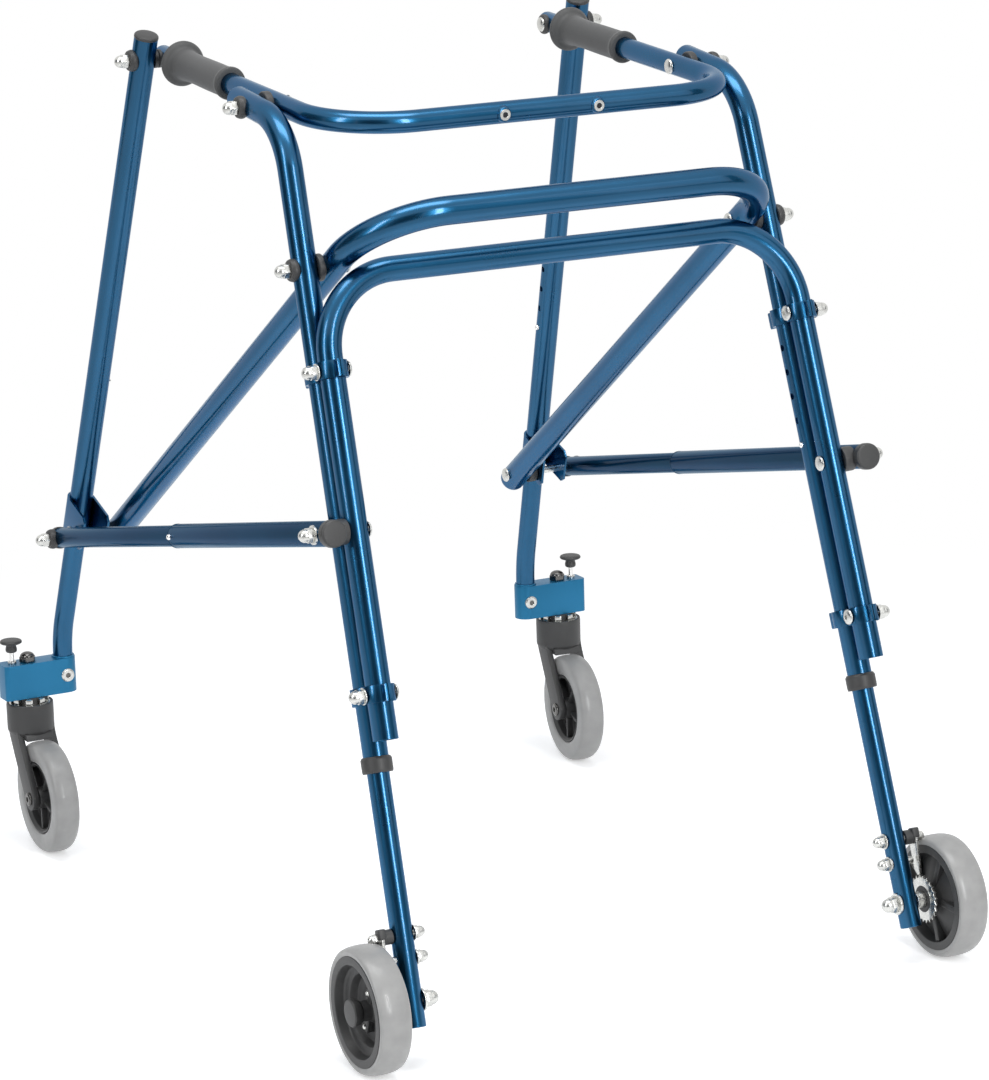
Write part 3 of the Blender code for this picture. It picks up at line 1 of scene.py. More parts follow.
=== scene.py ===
# %% [markdown]
# # A folding walker of bent blue tube
#
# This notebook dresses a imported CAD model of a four-wheeled walking frame. The user stands inside
# it, between the two grips, with the closed hoops behind. The CAD model gives the sizes and the
# joints. The cells below make the surfaces that the eye sees: round tube with soft bends, plated
# nuts, moulded plastic and grey tyres. All values are metres, +Z is up and +Y is the way the user
# walks.

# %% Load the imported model
import math

import bmesh
import bpy
from mathutils import Matrix, Vector


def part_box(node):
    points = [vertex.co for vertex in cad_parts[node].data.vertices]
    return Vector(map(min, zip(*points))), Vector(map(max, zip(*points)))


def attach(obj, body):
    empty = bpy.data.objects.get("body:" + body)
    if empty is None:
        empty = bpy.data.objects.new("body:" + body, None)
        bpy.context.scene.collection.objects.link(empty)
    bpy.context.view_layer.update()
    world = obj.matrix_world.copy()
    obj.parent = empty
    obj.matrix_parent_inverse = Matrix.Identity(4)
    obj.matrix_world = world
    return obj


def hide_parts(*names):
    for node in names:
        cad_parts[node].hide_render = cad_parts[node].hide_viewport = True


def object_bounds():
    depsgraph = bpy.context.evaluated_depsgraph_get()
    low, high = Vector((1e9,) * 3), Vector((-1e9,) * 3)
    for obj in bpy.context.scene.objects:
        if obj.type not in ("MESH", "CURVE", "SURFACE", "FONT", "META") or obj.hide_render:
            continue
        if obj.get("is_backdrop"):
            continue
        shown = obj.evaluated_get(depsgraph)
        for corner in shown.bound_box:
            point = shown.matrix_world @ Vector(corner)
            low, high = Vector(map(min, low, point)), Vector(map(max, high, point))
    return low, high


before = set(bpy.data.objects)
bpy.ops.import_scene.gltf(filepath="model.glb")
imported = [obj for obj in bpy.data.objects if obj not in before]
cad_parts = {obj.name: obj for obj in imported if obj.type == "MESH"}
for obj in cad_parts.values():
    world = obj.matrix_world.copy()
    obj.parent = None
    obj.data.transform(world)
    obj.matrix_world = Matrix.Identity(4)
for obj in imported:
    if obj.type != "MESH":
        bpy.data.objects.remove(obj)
cad_low, cad_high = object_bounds()
print("CAD box from", tuple(round(v, 3) for v in cad_low), "to", tuple(round(v, 3) for v in cad_high))

# %% [markdown]
# ## The camera
#
# The photograph was taken from behind the walker, to its left and a little above the handlebar,
# with a long lens. The place, the turn and the small roll below put the wheels, pivots and tube
# ends where the photograph shows them. A small shift of the lens keeps the vertical lines as
# they are.

# %% Camera
VIEW_TURN = math.radians(26.713)
VIEW_DIP = math.radians(13.643)
VIEW_ROLL = math.radians(-1.6553)
CAMERA_PLACE = Vector((-1.91932, -3.89341, 1.45645))
LENS = 140.258
LENS_SHIFT = (-0.007574, -0.004009)

scene = bpy.context.scene
camera_data = bpy.data.cameras.new("studio_camera")
camera = bpy.data.objects.new("studio_camera", camera_data)
scene.collection.objects.link(camera)
look = Vector((math.sin(VIEW_TURN), math.cos(VIEW_TURN), -math.tan(VIEW_DIP))).normalized()
level_right = look.cross(Vector((0, 0, 1))).normalized()
level_up = level_right.cross(look)
right = level_right * math.cos(VIEW_ROLL) + level_up * math.sin(VIEW_ROLL)
up_way = level_up * math.cos(VIEW_ROLL) - level_right * math.sin(VIEW_ROLL)
view = Matrix((right, up_way, -look)).transposed().to_4x4()
camera.matrix_world = Matrix.Translation(CAMERA_PLACE) @ view
camera_data.sensor_fit = "VERTICAL"
camera_data.sensor_height = 36
camera_data.lens = LENS
camera_data.shift_x, camera_data.shift_y = LENS_SHIFT
camera_data.clip_end = 60
scene.camera = camera
print("camera at", tuple(round(v, 3) for v in camera.location))

# %% [markdown]
# ## The studio
#
# The walker stands on a pale floor in a white room. The background's white comes from what the
# camera and the mirror-like surfaces see, and not from strong light on the object. A Light Path
# node makes that choice: the world is white to the camera, and a plain grey sky to everything
# else. Close to the walker the floor is paper that takes its shadow, and further out it fades
# into plain white.


# %% Helpers for nodes and pieces
def fill(tree, node, inputs):
    """An input is linked where it is given a socket, and set where it is given a value."""
    for key, value in inputs.items():
        if isinstance(value, bpy.types.NodeSocket):
            tree.links.new(value, node.inputs[key])
        else:
            node.inputs[key].default_value = value


def add_node(tree, kind, inputs, **settings):
    node = tree.nodes.new(kind)
    for key, value in settings.items():
        setattr(node, key, value)
    fill(tree, node, inputs)
    return node


def made(tree, kind, inputs, output=0, **settings):
    """Adds a node and gives the output that the next one takes."""
    return add_node(tree, kind, inputs, **settings).outputs[output]


def new_material(name, inputs):
    """A material with its tree and its main shader, whose inputs are set."""
    material = bpy.data.materials.new(name)
    material.use_nodes = True
    tree = material.node_tree
    shader = tree.nodes["Principled BSDF"]
    fill(tree, shader, inputs)
    return material, tree, shader


def new_piece(name, data):
    piece = bpy.data.objects.new(name, data)
    scene.collection.objects.link(piece)
    return piece


def piece_of(name, shape):
    """A new piece from a shape that is then let go."""
    mesh = bpy.data.meshes.new(name)
    shape.to_mesh(mesh)
    shape.free()
    return new_piece(name, mesh)


def mix_shader(tree, factor, first, second):
    return made(tree, "ShaderNodeMixShader", {0: factor, 1: first, 2: second})


def seen_directly(tree):
    """1 for the camera's own rays and for mirror and glass rays, 0 for light on the object."""
    path = add_node(tree, "ShaderNodeLightPath", {}).outputs
    total = path["Is Camera Ray"]
    for name in ("Is Glossy Ray", "Is Transmission Ray"):
        total = made(tree, "ShaderNodeMath", {0: total, 1: path[name]}, operation="MAXIMUM")
    return total


# %% World and floor
PAPER_GLOW = 0.42
NEAR_PAPER = 0.7
FAR_PAPER = 1.7
FLOOR_HALF = 14
FLOOR_DROP = 0.0005

scene.view_settings.view_transform = "Standard"
scene.world = bpy.data.worlds.new("studio")
scene.world.use_nodes = True
sky = scene.world.node_tree
sky.nodes.clear()
plain_sky = made(sky, "ShaderNodeBackground", {"Color": (0.90, 0.94, 1.0, 1), "Strength": 0.42})
white_sky = made(sky, "ShaderNodeBackground", {"Color": (1, 1, 1, 1), "Strength": 1.0})
sky_seen = mix_shader(sky, seen_directly(sky), plain_sky, white_sky)
add_node(sky, "ShaderNodeOutputWorld", {"Surface": sky_seen})

floor_paint, paper, paper_matt = new_material(
    "studio_floor", {"Base Color": (0.97, 0.97, 0.97, 1), "Roughness": 0.9, "Specular IOR Level": 0.1}
)
matt = paper_matt.outputs[0]
glow = made(paper, "ShaderNodeEmission", {"Strength": PAPER_GLOW})
near_paper = made(paper, "ShaderNodeAddShader", {0: matt, 1: glow})
far_paper = made(paper, "ShaderNodeEmission", {"Strength": 1.0})
floor_place = made(paper, "ShaderNodeTexCoord", {}, "Object")
how_far = made(paper, "ShaderNodeVectorMath", {0: floor_place}, "Value", operation="LENGTH")
fade_range = {"Value": how_far, "From Min": NEAR_PAPER, "From Max": FAR_PAPER}
fade = made(paper, "ShaderNodeMapRange", fade_range, "Result", interpolation_type="SMOOTHSTEP")
paper_seen = mix_shader(paper, fade, near_paper, far_paper)
paper_shader = mix_shader(paper, seen_directly(paper), matt, paper_seen)
fill(paper, paper.nodes["Material Output"], {"Surface": paper_shader})


def studio_sheet(name, half, material):
    """A flat square that belongs to the studio and not to the walker."""
    shape = bmesh.new()
    bmesh.ops.create_grid(shape, x_segments=1, y_segments=1, size=half)
    sheet = piece_of(name, shape)
    sheet.data.materials.append(material)
    sheet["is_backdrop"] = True
    return sheet


floor = studio_sheet("studio_floor", FLOOR_HALF, floor_paint)
floor.location.z = -FLOOR_DROP

# %% [markdown]
# ### Lamps and cards
#
# Four large soft lamps give the tubes their long highlights. The near lamp draws the bright line
# down the rear legs. Dark cards round the camera side keep the tubes from mirroring white all
# over, as a photographer's black flags do. The camera doesn't see the cards.

# %% Lamps and cards
LAMPS = {
    "left_lamp": ((-3.4, -1.2, 2.2), 0.5, (0.5, 2.6), 50),
    "right_lamp": ((2.4, -3.0, 2.0), 0.5, (1.6, 2.6), 14),
    "near_lamp": ((0.35, -4.2, 1.9), 0.45, (0.60, 2.6), 88),
    "top_lamp": ((-0.2, -0.4, 3.2), 0.4, (2.2, 1.0), 40),
}
for name, (place, target_z, size, power) in LAMPS.items():
    lamp_data = bpy.data.lights.new(name, "AREA")
    lamp_data.shape = "RECTANGLE"
    lamp_data.size, lamp_data.size_y = size
    lamp_data.energy = power
    lamp = bpy.data.objects.new(name, lamp_data)
    scene.collection.objects.link(lamp)
    lamp.location = place
    beam = Vector((0, 0, target_z)) - Vector(place)
    lamp.rotation_euler = beam.to_track_quat("-Z", "Y").to_euler()

CARD_REACH = 6.2
CARD_HEIGHT = 2.3
CARD_SIZE = (4.2, 5.2, 1)
CARD_TURNS = (-48.3, -8.3, 31.7, 71.7, 111.7)
card_inputs = {"Base Color": (0.13, 0.15, 0.18, 1), "Roughness": 1.0}
card_paint = new_material("studio_card", card_inputs)[0]
for index, degrees in enumerate(CARD_TURNS):
    angle = math.radians(degrees)
    card = studio_sheet(f"studio_card_{index}", 0.5, card_paint)
    card.location = (-CARD_REACH * math.sin(angle), -CARD_REACH * math.cos(angle), CARD_HEIGHT)
    card.rotation_euler = (math.pi / 2, 0, -angle)
    card.scale = CARD_SIZE
    card.visible_camera = False
print("lamps:", list(LAMPS), "and", len(CARD_TURNS), "cards")

# %% [markdown]
# ## Finishes
#
# The tube is polished aluminium under a translucent blue. Such a blue is bright where a lamp
# falls on it and nearly black where it turns away, so the shader is a metal with a deep colour
# and a thin clear coat. A little noise in the colour and the roughness keeps the surface from
# looking like a computer's. The pattern is read from Object coordinates, which stay with each
# piece when it moves.

# %% Finish helper
FINISHES = {}


def add_noise(tree, scale, detail):
    """A noise pattern on the piece's own coordinates, in metres."""
    place = made(tree, "ShaderNodeTexCoord", {}, "Object")
    return made(tree, "ShaderNodeTexNoise", {"Scale": scale, "Detail": detail, "Vector": place}, "Fac")


def ramp(tree, factor, low, high):
    """Turns a pattern into a range between two colours."""
    node = add_node(tree, "ShaderNodeValToRGB", {"Fac": factor})
    for stop, position, colour in zip(node.color_ramp.elements, (0.35, 0.65), (low, high)):
        stop.position = position
        stop.color = (*colour, 1)
    return node.outputs["Color"]


def make_finish(name, low, high, roughness, metallic, grain, blotch=9.0, **more):
    """A finish whose colour drifts between two tones, with a fine grain in its surface.

    roughness is a low and a high value, and grain is a noise scale and a bump depth in metres.
    A depth of 0 leaves the surface smooth. more holds further inputs of the shader.
    """
    inputs = {key.replace("_", " "): value for key, value in more.items()}
    material, tree, shader = new_material(name, {"Metallic": metallic, **inputs})
    tones = ramp(tree, add_noise(tree, blotch, 3.0), low, high)
    fine = add_noise(tree, grain[0], 4.0)
    gloss = ramp(tree, fine, *[(value, value, value) for value in roughness])
    fill(tree, shader, {"Base Color": tones, "Roughness": gloss})
    if grain[1]:
        bump = made(tree, "ShaderNodeBump", {"Distance": grain[1], "Strength": 0.6, "Height": fine})
        fill(tree, shader, {"Normal": bump})
    FINISHES[name] = material


# %% The walker's finishes
BLUE_EDGE = (0.30, 0.50, 0.70, 1)
make_finish(
    "blue_tube", (0.0115, 0.086, 0.182), (0.0145, 0.100, 0.210), (0.27, 0.31), 1.0, (14, 0),
    Coat_Weight=0.45, Coat_Roughness=0.10, Specular_Tint=BLUE_EDGE,
)
# Painted shade: a darker copy of the blue tube finish, given to the braces.
make_finish(
    "dark_tube", (0.006, 0.036, 0.068), (0.008, 0.043, 0.080), (0.28, 0.32), 0.95, (14, 0),
    Coat_Weight=0.20, Coat_Roughness=0.10, Specular_Tint=BLUE_EDGE,
)
make_finish(
    "blue_casting", (0.010, 0.150, 0.296), (0.013, 0.168, 0.334), (0.34, 0.44), 0.55, (1400, 0.00003)
)
make_finish("zinc", (0.56, 0.56, 0.54), (0.66, 0.66, 0.63), (0.24, 0.34), 1.0, (500, 0.000003), 120)
make_finish("chrome", (0.78, 0.78, 0.77), (0.84, 0.84, 0.83), (0.10, 0.16), 1.0, (600, 0.00001))
make_finish(
    "black_plastic", (0.034, 0.034, 0.034), (0.045, 0.045, 0.045), (0.42, 0.54), 0.0, (1500, 0.00004)
)
make_finish(
    "black_rubber", (0.042, 0.043, 0.043), (0.056, 0.057, 0.057), (0.50, 0.66), 0.0, (1100, 0.00008),
    Sheen_Weight=0.15, Sheen_Roughness=0.5,
)
make_finish(
    "grey_tyre", (0.310, 0.308, 0.302), (0.346, 0.343, 0.336), (0.32, 0.44), 0.0, (300, 0.00005), 60,
    Coat_Weight=0.12, Coat_Roughness=0.10,
)
# Dark metal for the stem nuts and fork axle heads. The same finish paints shade into the hexagon
# sockets.
make_finish(
    "dark_metal", (0.115, 0.112, 0.108), (0.150, 0.146, 0.140), (0.20, 0.30), 1.0, (300, 0.00001)
)
# Painted shade: this near-black finish goes on the walls of bores, holes and slits, and on the insert
# holes, where shade falls.
make_finish(
    "dark_inside", (0.004, 0.006, 0.010), (0.008, 0.010, 0.016), (0.6, 0.7), 0.0, (500, 0.00002)
)
print("finishes:", sorted(FINISHES))

# %% [markdown]
# ## The walker's layout
#
# The pieces follow a few straight axes: the rear leg's line, the front leg's line, the middle
# hoop's arm and the handlebar. Each axis is written once, as the maker's drawing would give it,
# measured ahead of the rear axle. Every tube, nut and plug below takes its place from these, so
# the dressed walker fits the CAD model's joints.

# %% Axes and sizes
SIDES = (("right", 1), ("left", -1))
UP = Vector((0, 0, 1))
TOUCH = 0.0003

WHEEL_RADIUS = 0.0635
REAR_WHEEL_X = 0.326
CASTER_WHEEL_WIDTH = 0.029
tyre_low, tyre_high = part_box("rear_tyre_right")
REAR_AXLE_Y = (tyre_low[1] + tyre_high[1]) / 2

TUBE_RADIUS = 0.0127
SLIDING_RADIUS = 0.0111
MIDDLE_HOOP_RADIUS = 0.0143
HANDLEBAR_RADIUS = 0.0111
BOLT_RADIUS = 0.004

REAR_LEG_FOOT_X = 0.2818
REAR_LEG_LEAN = 0.3361
REAR_LEG_SPLAY = 0.0302
REAR_LEG_ENDS_Z = (0.0392, 0.5523)
UPRIGHT_FOOT_Z = 0.2754
UPRIGHT_BEND = 0.075
UPRIGHT_TOP_SLOPE = 0.1167
UPRIGHT_TIP_Y = 0.387
REAR_BUTTON_Z = 0.5185
PAWL_PIVOT_Z = 0.1251
PAWL_STOP_Z = 0.1027
HOLE_PITCH = 0.0254
HOLES = 5

HOOP_SPACING = 0.0294
REAR_HOOP_FOOT_Z = 0.3118
REAR_HOOP_BAR_Z = 0.7420
REAR_HOOP_BEND = 0.081
CLAMP_HEIGHTS = {"upper": 0.6548, "lower": 0.3546}

HANDLEBAR_X = 0.229
HANDLEBAR_SLOPE = 0.0652
HANDLEBAR_PIVOT = (0.3501, 0.8915)
HANDLEBAR_FRONT_Y = 0.6481
HANDLEBAR_REAR_Y = 0.2113
HANDLEBAR_BEND = 0.085
HANDLEBAR_FRONT_PIVOT_Z = 0.9098
GRIP_ENDS_Y = (0.467, 0.595)
INSERT_X = 0.0525

ARM_PIVOT_Z = 0.7452
ARM_X_AT_PIVOT = 0.2312
ARM_X_AT_FRONT = 0.2500
FRONT_PIVOT = (0.7897, 0.3685)
MIDDLE_HOOP_BEND = 0.087
MIDDLE_HOOP_BEHIND = 0.104
MIDDLE_HOOP_AHEAD = 0.021

FRONT_LEG_TOP = (0.2563, 0.6226, 0.9350)
FRONT_LEG_LEAN = 0.3478
FRONT_LEG_SPLAY = 0.0563
FRONT_UPPER_FOOT_Z = 0.3665
FRONT_LOWER_TOP_Z = 0.5887
FRONT_BUTTON_Z = 0.545
FRONT_KNEE_Z = 0.2355
BRACKET_Z = 0.3879
BRACKET_HEIGHT = 0.041
BRACKET_REACH = 0.0485

BLOCK_TOP_Z = 0.2120
BLOCK_FOOT_Z = 0.1720
BLOCK_ENDS_X = (0.2822, 0.370)
BLOCK_HALF_Y = 0.0135
CASTER_STEM_X = 0.3385
PLUNGER_X = 0.357
CASTER_TRAIL = 0.0415
CASTER_YAW = {"right": math.radians(-4.8), "left": math.radians(0.9)}

BRACE_REAR_Z = 0.5059
BRACE_REAR_X = 0.301
BRACE_FRONT_X = 0.318
BRACE_STEP_Y = {"right": 0.510, "left": 0.469}


# %% Points on the axes
def placed(x, y, z):
    """A point measured ahead of the rear axle, moved to the scene."""
    return Vector((x, y + REAR_AXLE_Y, z))


def rear_leg(side, z):
    rise = z - WHEEL_RADIUS
    return placed(side * (REAR_LEG_FOOT_X - REAR_LEG_SPLAY * rise), REAR_LEG_LEAN * rise, z)


def rear_leg_up(side):
    return Vector((-side * REAR_LEG_SPLAY, REAR_LEG_LEAN, 1)).normalized()


def ahead_of(up):
    return up.cross(Vector((1, 0, 0))).normalized()


def rear_hoop_leg(side, z):
    up = rear_leg_up(side)
    back = -ahead_of(up) * HOOP_SPACING
    return rear_leg(side, z) + back - up * (back.z / up.z)


def front_leg(side, z):
    x, y, top = FRONT_LEG_TOP
    down = top - z
    return placed(side * (x + FRONT_LEG_SPLAY * down), y + FRONT_LEG_LEAN * down, z)


def front_leg_up(side):
    return Vector((-side * FRONT_LEG_SPLAY, -FRONT_LEG_LEAN, 1)).normalized()


def arm_point(side, beyond):
    """A point of the middle hoop's arm, by its distance from the arm's pivot."""
    rear = placed(side * ARM_X_AT_PIVOT, REAR_LEG_LEAN * (ARM_PIVOT_Z - WHEEL_RADIUS), ARM_PIVOT_Z)
    front = placed(side * ARM_X_AT_FRONT, *FRONT_PIVOT)
    return rear + (front - rear).normalized() * beyond


def handlebar_point(side, y):
    pivot_y, pivot_z = HANDLEBAR_PIVOT
    return placed(side * HANDLEBAR_X, y, pivot_z + HANDLEBAR_SLOPE * (y - pivot_y))


def brace_pivot(side):
    """The brace's rear pivot, the bolt's outward direction and the brace's own direction."""
    hoop = rear_hoop_leg(side, BRACE_REAR_Z)
    front = placed(side * BRACE_FRONT_X, *FRONT_PIVOT)
    run = (front - Vector((side * BRACE_REAR_X, hoop.y, hoop.z))).normalized()
    outward = run.cross(rear_leg_up(side)).normalized() * side
    pivot = hoop + outward * ((side * BRACE_REAR_X - hoop.x) / outward.x)
    return pivot, outward, (front - pivot).normalized()


def brace_point(side, y):
    pivot, _, run = brace_pivot(side)
    return pivot + run * ((y + REAR_AXLE_Y - pivot.y) / run.y)


ARM_LENGTH = (placed(ARM_X_AT_FRONT, *FRONT_PIVOT) - arm_point(1, 0)).length
SOCKET_Y = front_leg(1, FRONT_KNEE_Z).y
print("rear axle at y", round(REAR_AXLE_Y, 4), "caster stems at y", round(SOCKET_Y, 4))

# %% [markdown]
# ## Making shapes
#
# Most of the walker is turned, bent or cut from plate. Four helpers cover that. One spins a
# profile about an axis, one lays a tube through corner points, one cuts a plate from an outline,
# and one fixes a finished piece to the body that carries it. Sharp corners catch no light, so
# profiles and outlines are softened first.


# %% Places and outlines
QUARTER = math.pi / 2


def frame_at(origin, z_axis, x_axis):
    """A place with local Z along z_axis and local X as near x_axis as that allows."""
    z = z_axis.normalized()
    y = z.cross(x_axis).normalized()
    return Matrix.Translation(origin) @ Matrix((y.cross(z), y, z)).transposed().to_4x4()


def along(origin, direction):
    """A place with local Z along a direction."""
    return Matrix.Translation(origin) @ direction.to_track_quat("Z", "Y").to_matrix().to_4x4()


def spot(x=0, y=0, z=0):
    """A move that doesn't turn."""
    return Matrix.Translation((x, y, z))


def turn(degrees, axis):
    return Matrix.Rotation(math.radians(degrees), 4, axis)


def arc(radius, count, start=0.0, sweep=2 * math.pi, centre=(0, 0)):
    """Points on an arc. Six points on a full circle make a hexagon."""
    last = count if sweep >= 2 * math.pi else count - 1
    angles = [start + sweep * step / last for step in range(count)]
    return [(centre[0] + radius * math.cos(a), centre[1] + radius * math.sin(a)) for a in angles]


def softened(points, radius, closed=False, steps=4):
    """The same outline with each corner rounded, by no more than its edges allow."""
    points = [Vector(point) for point in points]
    result = []
    for index, corner in enumerate(points):
        if not closed and index in (0, len(points) - 1):
            result.append(tuple(corner))
            continue
        before = points[index - 1] - corner
        after = points[(index + 1) % len(points)] - corner
        reach = min(radius, before.length * 0.45, after.length * 0.45)
        start = corner + before.normalized() * reach
        end = corner + after.normalized() * reach
        for step in range(steps + 1):
            share = step / steps
            result.append(tuple(start.lerp(corner, share).lerp(corner.lerp(end, share), share)))
    return result


def raised(profile, base):
    """A profile whose heights are counted from a base height."""
    return [(radius, base + height) for radius, height in profile]


def both_faces(profile):
    """Half a profile and its mirror image. A point on the middle plane isn't repeated."""
    return profile + [(radius, -height) for radius, height in reversed(profile) if height]


# %% Shape helpers
def baked(piece):
    """The piece with its modifiers applied and its place in its mesh."""
    bpy.context.view_layer.update()
    graph = bpy.context.evaluated_depsgraph_get()
    mesh = bpy.data.meshes.new_from_object(piece.evaluated_get(graph))
    mesh.transform(piece.matrix_world)
    name = piece.name
    bpy.data.objects.remove(piece, do_unlink=True)
    mesh.name = name
    return new_piece(name, mesh)


def merged(shape):
    """Joins doubled points and turns all faces outward."""
    bmesh.ops.remove_doubles(shape, verts=shape.verts, dist=0.000002)
    bmesh.ops.recalc_face_normals(shape, faces=shape.faces)


def cleaned(piece):
    shape = bmesh.new()
    shape.from_mesh(piece.data)
    merged(shape)
    shape.to_mesh(piece.data)
    shape.free()
    return piece


def soft_edged(piece, width, segments):
    edge = piece.modifiers.new("soft_edge", "BEVEL")
    edge.width = width
    edge.segments = segments
    edge.limit_method = "ANGLE"
    edge.angle_limit = math.radians(50)
    return baked(piece)


def turned(name, profile, place, steps=64, soften=0.0004):
    """A profile of (radius, height) points spun about local Z. It closes on the axis or on itself."""
    ring = min(radius for radius, _ in profile) > 0
    if soften:
        profile = softened(profile, soften, closed=ring)
    shape = bmesh.new()
    points = [shape.verts.new((radius, 0, height)) for radius, height in profile]
    edges = [shape.edges.new(pair) for pair in zip(points, points[1:])]
    if ring:
        edges.append(shape.edges.new((points[-1], points[0])))
    spun = {"axis": (0, 0, 1), "cent": (0, 0, 0), "steps": steps, "angle": 2 * math.pi}
    bmesh.ops.spin(shape, geom=points + edges, **spun)
    merged(shape)
    bmesh.ops.transform(shape, matrix=place, verts=shape.verts)
    return piece_of(name, shape)


def slab(name, outlines, thickness, place, bevel=0.0004, segments=2):
    """A plate from a closed outline in local XY; further outlines are holes."""
    curve = bpy.data.curves.new(name, "CURVE")
    curve.dimensions = "2D"
    curve.fill_mode = "BOTH"
    curve.extrude = thickness / 2
    for outline in outlines:
        spline = curve.splines.new("POLY")
        spline.points.add(len(outline) - 1)
        spline.use_cyclic_u = True
        for point, (x, y) in zip(spline.points, outline):
            point.co = (x, y, 0, 1)
    piece = cleaned(baked(new_piece(name, curve)))
    if bevel:
        piece = soft_edged(piece, bevel, segments)
    piece.data.transform(place)
    return piece


def block(name, size, place, bevel=0.001):
    shape = bmesh.new()
    bmesh.ops.create_cube(shape, size=1)
    bmesh.ops.scale(shape, vec=size, verts=shape.verts)
    piece = piece_of(name, shape)
    if bevel:
        piece = soft_edged(piece, bevel, 3)
    piece.data.transform(place)
    return piece


def united(name, *pieces):
    """Several shapes as one piece."""
    shape = bmesh.new()
    for piece in pieces:
        shape.from_mesh(piece.data)
        bpy.data.objects.remove(piece, do_unlink=True)
    return piece_of(name, shape)


def painted(piece, finish):
    piece.data.materials.clear()
    piece.data.materials.append(FINISHES[finish])
    return piece


def cut_out(piece, cutter):
    """Takes the cutter's shape out of the piece; the cut faces keep the cutter's finish."""
    boolean = piece.modifiers.new("cut", "BOOLEAN")
    boolean.operation = "DIFFERENCE"
    boolean.object = cutter
    result = baked(piece)
    bpy.data.objects.remove(cutter, do_unlink=True)
    return result


def settle(piece, body, slot, *nodes):
    """Shades a finished piece and fixes it to the body that carries it."""
    piece.data.shade_smooth()
    piece.data.set_sharp_from_angle(angle=math.radians(38))
    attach(piece, body)
    if nodes:
        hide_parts(*nodes)


def fit(piece, finish, body, *nodes, slot=None):
    """Gives a piece one finish all over and settles it. Its slot argument is passed on but not used."""
    settle(painted(piece, finish), body, slot or finish, *nodes)


# %% [markdown]
# ## Node trees for what repeats
#
# Tube, rows of holes, the spring buttons, and the ribs, spokes and teeth that stand evenly round
# an axis all follow a rule, so Geometry Nodes make them. Each tree below has named inputs. Its
# result is turned into a plain mesh, because a live modifier would be lost when the model is
# handed on.


# %% Tree helpers
def new_tree(name, **sockets):
    """A node tree with a geometry input and output and the named inputs, and what it is given."""
    tree = bpy.data.node_groups.new(name, "GeometryNodeTree")
    for label, kind in {"Geometry": "Geometry", **sockets}.items():
        tree.interface.new_socket(label, in_out="INPUT", socket_type=f"NodeSocket{kind}")
    tree.interface.new_socket("Geometry", in_out="OUTPUT", socket_type="NodeSocketGeometry")
    return tree, tree.nodes.new("NodeGroupInput").outputs


def end_tree(tree, geometry, given):
    """Every tree ends in real geometry with its finish."""
    real = made(tree, "GeometryNodeRealizeInstances", {"Geometry": geometry})
    coated = made(tree, "GeometryNodeSetMaterial", {"Geometry": real, "Material": given["Finish"]})
    add_node(tree, "NodeGroupOutput", {"Geometry": coated})


def grown(piece, tree, **values):
    """Runs a tree on a piece, with its inputs set by their identifiers, and keeps the result."""
    modifier = piece.modifiers.new(tree.name, "NODES")
    modifier.node_group = tree
    for item in tree.interface.items_tree:
        if item.in_out == "INPUT" and item.name.lower() in values:
            modifier[item.identifier] = values[item.name.lower()]
    return baked(piece)


# %% Bent tube
TUBE_SIDES = 48
tube_tree, given = new_tree("bent_tube", Radius="Float", Finish="Material")
line = made(tube_tree, "GeometryNodeMeshToCurve", {"Mesh": given["Geometry"]})
ring_size = {"Resolution": TUBE_SIDES, "Radius": given["Radius"]}
ring = made(tube_tree, "GeometryNodeCurvePrimitiveCircle", ring_size)
share = made(tube_tree, "GeometryNodeInputNamedAttribute", {"Name": "share"}, "Attribute")
sweep = {"Curve": line, "Profile Curve": ring, "Scale": share, "Fill Caps": True}
end_tree(tube_tree, made(tube_tree, "GeometryNodeCurveToMesh", sweep), given)


def rounded_path(corners, bend, steps=26):
    """A path through corner points, with an arc of the bend radius at each inner one."""
    path = [corners[0]]
    for before, corner, after in zip(corners, corners[1:], corners[2:]):
        into = (corner - before).normalized()
        out = (after - corner).normalized()
        angle = into.angle(out)
        middle = corner + (out - into).normalized() * (bend / math.cos(angle / 2))
        start = corner - into * bend * math.tan(angle / 2) - middle
        axis = into.cross(out)
        for step in range(steps + 1):
            path.append(middle + Matrix.Rotation(angle * step / steps, 3, axis) @ start)
    return path + [corners[-1]]


def hoop_corners(point, end, bar):
    """The corners of a hoop that is the same on both sides, from one end to the other."""
    return [point(1, end), point(1, bar), point(-1, bar), point(-1, end)]


def tube(name, corners, radius, finish, dome, bend=0.0):
    """A round tube, straight or bent at its inner corners, with ends rounded over the dome length."""
    if len(corners) == 2:
        path = [corners[0], corners[0].lerp(corners[1], 0.5), corners[1]]
    else:
        path = rounded_path(corners, bend)
    first = (path[1] - path[0]).normalized()
    last = (path[-1] - path[-2]).normalized()
    rounding = []
    for step in range(5):
        angle = QUARTER * step / 4
        share = 1 - (1 - math.sin(angle)) * min(dome, radius * 0.9) / radius
        rounding.append((1 - math.cos(angle), share))
    points = [(path[0] + first * dome * back, share) for back, share in rounding]
    points += [(point, 1) for point in path[1:-1]]
    points += [(path[-1] - last * dome * back, share) for back, share in reversed(rounding)]
    mesh = bpy.data.meshes.new(name)
    mesh.from_pydata([point for point, _ in points], [(i, i + 1) for i in range(len(points) - 1)], [])
    shares = mesh.attributes.new("share", "FLOAT", "POINT")
    for item, (_, share) in zip(shares.data, points):
        item.value = share
    return cleaned(grown(new_piece(name, mesh), tube_tree, radius=radius, finish=FINISHES[finish]))


